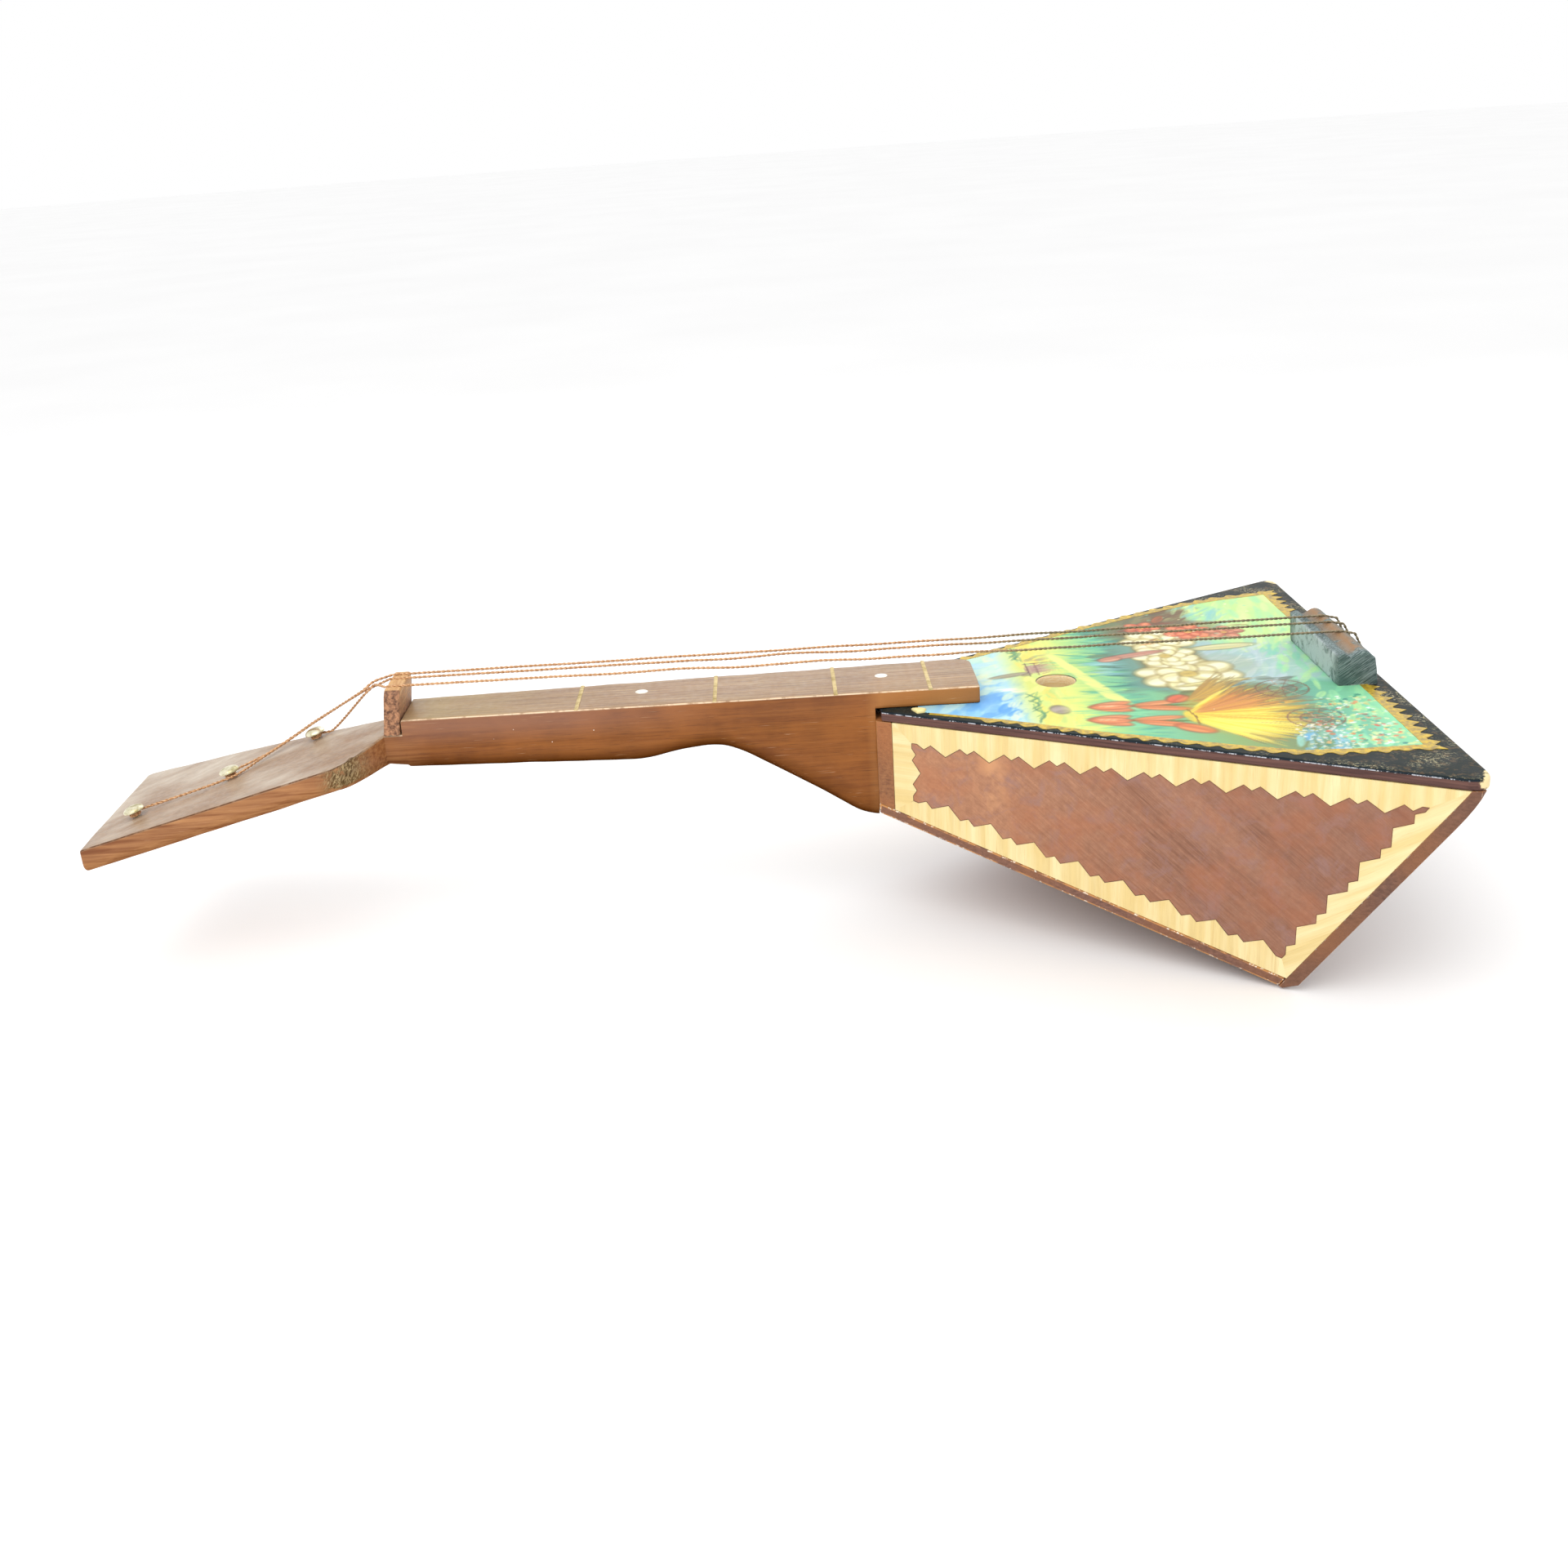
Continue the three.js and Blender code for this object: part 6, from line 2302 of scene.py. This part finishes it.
class BALALAIKA_OT_bridge(bpy.types.Operator):
    """Carves the bridge block with its worn groove and string notches"""

    bl_idname = "balalaika.bridge"
    bl_label = "Bridge"

    PROFILE = (
        (142.4, 0.1), (155.1, 0.1), (154.6, 4.5), (153.9, 8.7), (151.9, 10.5), (150.9, 11.1),
        (149.8, 11.3), (148.7, 11.0), (147.7, 10.4), (146.0, 9.5), (145.2, 9.9), (144.4, 10.6),
        (143.6, 10.8), (142.3, 10.5), (141.6, 10.1), (141.7, 8.0), (142.0, 4.0),
    )

    def execute(self, context):
        settings = context.scene.balalaika.neck
        low, high = BRIDGE_Y
        base = self.dense(self.PROFILE)
        rings, marks = [], []
        places = sorted(
            set([low + d for d in (0, 0.1, 0.3, 0.6)] + [high - d for d in (0, 0.1, 0.3, 0.6)]
                + [round(float(y), 2) for y in np.linspace(low + 1, high - 1, 140)])
        )
        for y in places:
            inset = rounding(min(y - low, high - y), 0.5)
            ring = []
            for x, z in base:
                dx = inset * (1 if x < 148.4 else -1) * (1 if z < 10 else 0.5)
                dz = -inset if z > 6 else 0
                notch = max(
                    math.exp(-(((y - line) / 0.5) ** 2)) for _, line in STRING_LINES
                )
                near_peak = math.exp(-(((x - BRIDGE_PEAK[0]) / 1.8) ** 2))
                dz -= 0.45 * notch * near_peak * (z > 9)
                ring.append((x + dx, y, z + dz))
                marks.append(
                    (
                        1.0 if x < 142.6 and z > 0.5 else 0.0,
                        max(0.0, 1 - abs(x - 148.6) / 4.2) if z > 8.5 else 0.0,
                    )
                )
            rings.append(ring)
        points, faces = loft(rings)
        mesh = mesh_of("bridge_block", points, faces)
        put_attribute(mesh, "front", [mark[0] for mark in marks])
        put_attribute(mesh, "worn", [mark[1] for mark in marks])
        outward(mesh)
        roughened(mesh, 4.0, 0.22, 3.0)
        softly_shaded(mesh, 45)
        finished(linked("bridge_block", mesh), ["bridge"], bridge_finish(settings))
        return {"FINISHED"}

    def dense(self, profile):
        """The profile with extra points, its corners cut a little."""
        points = []
        count = len(profile)
        for i, (x, z) in enumerate(profile):
            nx, nz = profile[(i + 1) % count]
            steps = max(1, round(math.hypot(nx - x, nz - z) / 1.2))
            cut = 0.12 / max(steps, 1)
            for k in range(steps):
                u = k / steps
                points.append((x + (nx - x) * (u + cut), z + (nz - z) * (u + cut)))
                if k == steps - 1:
                    points.append((nx - (nx - x) * cut, nz - (nz - z) * cut))
        return points


# ---- Tacks and strings ----

TACK_UNDER = 2.0
TACK_DOME = 1.8
SHANK = 1.0
LOOP_RADIUS = 1.55
LOOP_HEIGHT = 0.95
STRING_RADIUS = 0.4
LIFT = 0.22


def head_tack_place(along, y):
    x = HEAD_END + along * math.cos(HEAD_TILT)
    return Matrix.Translation((x, y, head_top(x))) @ Matrix.Rotation(-HEAD_TILT, 4, "Y")


def tail_tack_place(y):
    x = BODY_LENGTH - TAIL_LEAN * TAIL_TACK_DROP
    turn = Matrix.Rotation(math.pi / 2 + math.atan(TAIL_LEAN), 4, "Y")
    return Matrix.Translation((x, y, -TAIL_TACK_DROP)) @ turn


class BALALAIKA_OT_tacks(bpy.types.Operator):
    """Drives the domed tacks into the head and the tail plate"""

    bl_idname = "balalaika.tacks"
    bl_label = "Tacks"

    def execute(self, context):
        radius = context.scene.balalaika.fittings.tack_radius / MM
        copies = copies_tree()
        brass = metal_finish("tack_brass", "b0a473", "f2ecd0", 0.25, 2.0)
        chance = random.Random(2)
        heads = [head_tack_place(*spot) for spot in HEAD_TACKS]
        tails = [tail_tack_place(y) for _, y in STRING_LINES]
        for name, places, buried in (("head_tacks", heads, 5.5), ("tail_tacks", tails, 2.8)):
            tack = self.tack(radius, buried)
            spots = mesh_of(name, [place.translation for place in places], [])
            turns = [
                (place @ Matrix.Rotation(chance.uniform(0, 6), 4, "Z")).to_euler()
                for place in places
            ]
            put_attribute(spots, "turn", [tuple(turn) for turn in turns], "FLOAT_VECTOR")
            put_attribute(spots, "stretch", [(1, 1, 1)] * 3, "FLOAT_VECTOR")
            piece = grown(name, spots, copies, {"Copy": tack, "Size": 1.0, "Finish": brass})
            bpy.data.objects.remove(tack)
            softly_shaded(piece.data, 40)
            nodes = [f"{name[:-1]}_{i + 1}" for i in range(3)]
            finished(piece, nodes, brass)
        return {"FINISHED"}

    def tack(self, radius, buried):
        """A tack with a hollow underside, a rolled rim and a domed head."""
        profile = [
            (0, -buried), (0.5, -buried + 0.8), (SHANK, -buried + 1.8), (SHANK, TACK_UNDER),
            (radius * 0.5, TACK_UNDER + 0.25), (radius * 0.85, TACK_UNDER + 0.1),
            (radius * 0.95, TACK_UNDER), (radius, TACK_UNDER + 0.12),
        ]
        for i in range(1, 11):
            angle = i / 10 * math.pi / 2
            profile.append(
                (
                    radius * math.cos(angle) ** 0.9 if i < 10 else 0,
                    TACK_UNDER + 0.2 + (TACK_DOME - 0.2) * math.sin(angle),
                )
            )
        return small_object("tack", *lathe(profile, 48))


def over_head(along, y, height):
    x = HEAD_END + along * math.cos(HEAD_TILT)
    return Vector(
        (x - height * math.sin(HEAD_TILT), y, head_top(x) + height * math.cos(HEAD_TILT))
    )


def loop_points(place, start, turns, way=1):
    """A coil of string round a tack's shank, from a start angle in degrees."""
    points = []
    for i in range(int(turns * 14) + 1):
        angle = math.radians(start) + way * 2 * math.pi * i / 14
        height = 0.55 + 0.9 * i / (turns * 14)
        points.append(
            place @ Vector((LOOP_RADIUS * math.cos(angle), LOOP_RADIUS * math.sin(angle), height))
        )
    return points


def eased(points, step=1.0, tightness=0.5):
    """A smooth curve through points, sampled evenly enough for a string."""
    made = []
    for i in range(len(points) - 1):
        before = points[max(i - 1, 0)]
        a, b = points[i], points[i + 1]
        after = points[min(i + 2, len(points) - 1)]
        length = (b - a).length
        reach_a = (b - before).normalized() * length * tightness
        reach_b = (after - a).normalized() * length * tightness
        count = max(2, round(length / step))
        for k in range(count):
            u = k / count
            made.append(
                (2 * u**3 - 3 * u**2 + 1) * a
                + (u**3 - 2 * u**2 + u) * reach_a * 1.4
                + (3 * u**2 - 2 * u**3) * b
                + (u**3 - u**2) * reach_b * 1.4
            )
    made.append(points[-1])
    return made


def string_path(index):
    """The path of a string, from its loop on the head to its loop on the tail."""
    nut_y, bridge_y = STRING_LINES[index]
    head = head_tack_place(*HEAD_TACKS[index])
    tail = tail_tack_place(bridge_y)
    routes = (
        [head @ Vector((5.6, 0.6, LOOP_HEIGHT))],
        [over_head(54, 6, 1.3), over_head(62.6, 13, 2.6), over_head(71.5, 12.5, 5.4)],
        [
            head_tack_place(*HEAD_TACKS[1]) @ Vector((1.5, -3.2, LOOP_HEIGHT)),
            over_head(54, 4.7, 1.3),
            over_head(62.6, 11.7, 2.6),
            over_head(71.5, 11.2, 5.4),
        ],
    )
    turn = math.pi + 2 * math.pi * index / 3

    def bundled(x, z, angle):
        return Vector((x, 3 + 0.95 * math.cos(angle), z + 0.95 * math.sin(angle)))

    slack = [loop_points(head, 200, 1.75)[-1]]
    slack += routes[index]
    slack += [
        bundled(-172.6, 11.9, turn + 1.2),
        bundled(-170.6, 13.2, turn + 0.6),
        bundled(-168.6, 14.4, turn),
        Vector((HEAD_START + NUT_LEAN - 0.2, nut_y, NUT_TOP + LIFT - 0.15)),
    ]
    path = loop_points(head, 200, 1.75)[:-1] + eased(slack)
    chance = random.Random(index + 4)
    start = Vector((NUT_X + 1.4, nut_y, NUT_TOP + LIFT - 0.1))
    stop = Vector((BRIDGE_PEAK[0], bridge_y, BRIDGE_PEAK[1] + LIFT - 0.15))
    shift = chance.uniform(0, 50)
    count = 150
    for i in range(count + 1):
        u = i / count
        sway = math.sin(math.pi * u) * 0.7
        wave = Vector(
            (0, noise.noise((shift + u * 16, 0, 0)) * sway, noise.noise((0, shift + u * 13, 0)) * sway)
        )
        path.append(start.lerp(stop, u) + wave)
    path.append(Vector((BODY_LENGTH - 4.4, bridge_y, BRIDGE_PEAK[1] - 1.0)))
    path += [
        Vector((BODY_LENGTH + 0.45, bridge_y, 0.6)),
        Vector((BODY_LENGTH + 0.5, bridge_y, -PLATE - 0.4)),
    ]
    path += loop_points(tail, 180, 1.9, -1)
    return path


class BALALAIKA_OT_strings(bpy.types.Operator):
    """Ties the three twisted wire strings from head to tail"""

    bl_idname = "balalaika.strings"
    bl_label = "Strings"

    def execute(self, context):
        settings = context.scene.balalaika.fittings
        tree = wire_tree()
        wire = wire_finish()
        for index in range(3):
            path = string_path(index)
            line = mesh_of(
                "path", [tuple(p) for p in path], [], [(i, i + 1) for i in range(len(path) - 1)]
            )
            piece = grown(
                f"wire_string_{index + 1}",
                line,
                tree,
                {
                    "Wire Radius": settings.wire_radius,
                    "Ply Offset": settings.wire_radius * 0.85,
                    "Twist Pitch": settings.twist_pitch,
                    "Step": 0.4 * MM,
                    "Sides": 7,
                    "Finish": wire,
                },
            )
            outward(piece.data)
            piece.data.shade_smooth()
            finished(piece, [f"string_{index + 1}"], wire)
        return {"FINISHED"}


# ---- Stage ----

CAMERA_PLACE = (-32.578, -511.487, 179.805)
CAMERA_YAW, CAMERA_PITCH, CAMERA_ROLL = -0.0067015, 0.3887802, -0.0687445


class BALALAIKA_OT_stage(bpy.types.Operator):
    """Sets up the floor, the soft lights and the camera"""

    bl_idname = "balalaika.stage"
    bl_label = "Stage"

    def execute(self, context):
        settings = context.scene.balalaika.stage
        scene = context.scene
        self.floor()
        self.camera(settings)
        for name, place, size, power, tint in (
            ("key_light", (-260, -520, 620), 700, settings.key_power, (1, 0.98, 0.95)),
            ("back_light", (150, 620, 520), 800, settings.key_power * 0.5, (0.96, 0.98, 1)),
        ):
            lamp = bpy.data.lights.new(name, "AREA")
            lamp.energy = power
            lamp.size = size * MM
            lamp.color = tint
            holder = bpy.data.objects.new(name, lamp)
            scene.collection.objects.link(holder)
            holder.location = ORIGIN + Vector(place) * MM
            aim = Vector((0, 0, 0)) - holder.location
            holder.rotation_mode = "QUATERNION"
            holder.rotation_quaternion = aim.to_track_quat("-Z", "Y")
        world = bpy.data.worlds.new("white_surroundings")
        world.use_nodes = True
        light = world.node_tree.nodes["Background"]
        light.inputs["Color"].default_value = (1, 1, 1, 1)
        light.inputs["Strength"].default_value = settings.sky
        scene.world = world
        scene.view_settings.view_transform = "Standard"
        return {"FINISHED"}

    def floor(self):
        """A wide pale floor just under the instrument."""
        height = CAD_BOX[0].z - 0.0006
        points = [(x, y, height) for x, y in circle((0, 0), 12.0, 96)]
        mesh = bpy.data.meshes.new("floor")
        mesh.from_pydata(points, [], [range(len(points))])
        mesh.materials.append(floor_finish())
        linked("floor", mesh)

    def camera(self, settings):
        yaw, pitch, roll = CAMERA_YAW, CAMERA_PITCH, CAMERA_ROLL
        forward = Vector(
            (
                math.sin(yaw) * math.cos(pitch),
                math.cos(yaw) * math.cos(pitch),
                -math.sin(pitch),
            )
        )
        right = Vector((math.cos(yaw), -math.sin(yaw), 0))
        up = right.cross(forward)
        across = math.cos(roll) * right + math.sin(roll) * up
        above = math.cos(roll) * up - math.sin(roll) * right
        view = bpy.data.cameras.new("camera")
        view.lens = settings.lens
        view.sensor_width = 36.0
        view.clip_start = 0.01
        view.clip_end = 50.0
        holder = bpy.data.objects.new("camera", view)
        bpy.context.scene.collection.objects.link(holder)
        turn = Matrix((across, above, -forward)).transposed().to_4x4()
        holder.matrix_world = Matrix.Translation(ORIGIN + Vector(CAMERA_PLACE) * MM) @ turn
        bpy.context.scene.camera = holder


# ---- Panel and registration ----

OPERATORS = (
    BALALAIKA_OT_stage,
    BALALAIKA_OT_soundboard,
    BALALAIKA_OT_picture,
    BALALAIKA_OT_border,
    BALALAIKA_OT_plates,
    BALALAIKA_OT_sides,
    BALALAIKA_OT_glue_lines,
    BALALAIKA_OT_inner_frame,
    BALALAIKA_OT_neck,
    BALALAIKA_OT_fingerboard_trim,
    BALALAIKA_OT_nut,
    BALALAIKA_OT_bridge,
    BALALAIKA_OT_tacks,
    BALALAIKA_OT_strings,
)


class BALALAIKA_PT_panel(bpy.types.Panel):
    """Lists the pieces of the instrument"""

    bl_label = "Balalaika"
    bl_idname = "BALALAIKA_PT_panel"
    bl_space_type = "VIEW_3D"
    bl_region_type = "UI"
    bl_category = "Balalaika"

    def draw(self, context):
        settings = context.scene.balalaika
        for group in (settings.body, settings.neck, settings.fittings, settings.stage):
            box = self.layout.box()
            for key in group.bl_rna.properties.keys():
                if key not in ("rna_type", "name"):
                    box.prop(group, key)
        for operator in OPERATORS:
            self.layout.operator(operator.bl_idname)


CLASSES = (
    BodySettings,
    NeckSettings,
    FittingSettings,
    StageSettings,
    BalalaikaSettings,
    *OPERATORS,
    BALALAIKA_PT_panel,
)


def register():
    for made in CLASSES:
        bpy.utils.register_class(made)
    bpy.types.Scene.balalaika = PointerProperty(type=BalalaikaSettings)


def unregister():
    del bpy.types.Scene.balalaika
    for made in reversed(CLASSES):
        bpy.utils.unregister_class(made)


def main():
    register()
    build_groups()
    for operator in OPERATORS:
        _, name = operator.bl_idname.split(".")
        if getattr(bpy.ops.balalaika, name)() != {"FINISHED"}:
            raise RuntimeError(f"{operator.bl_label} was not finished")


if __name__ == "__main__":
    main()
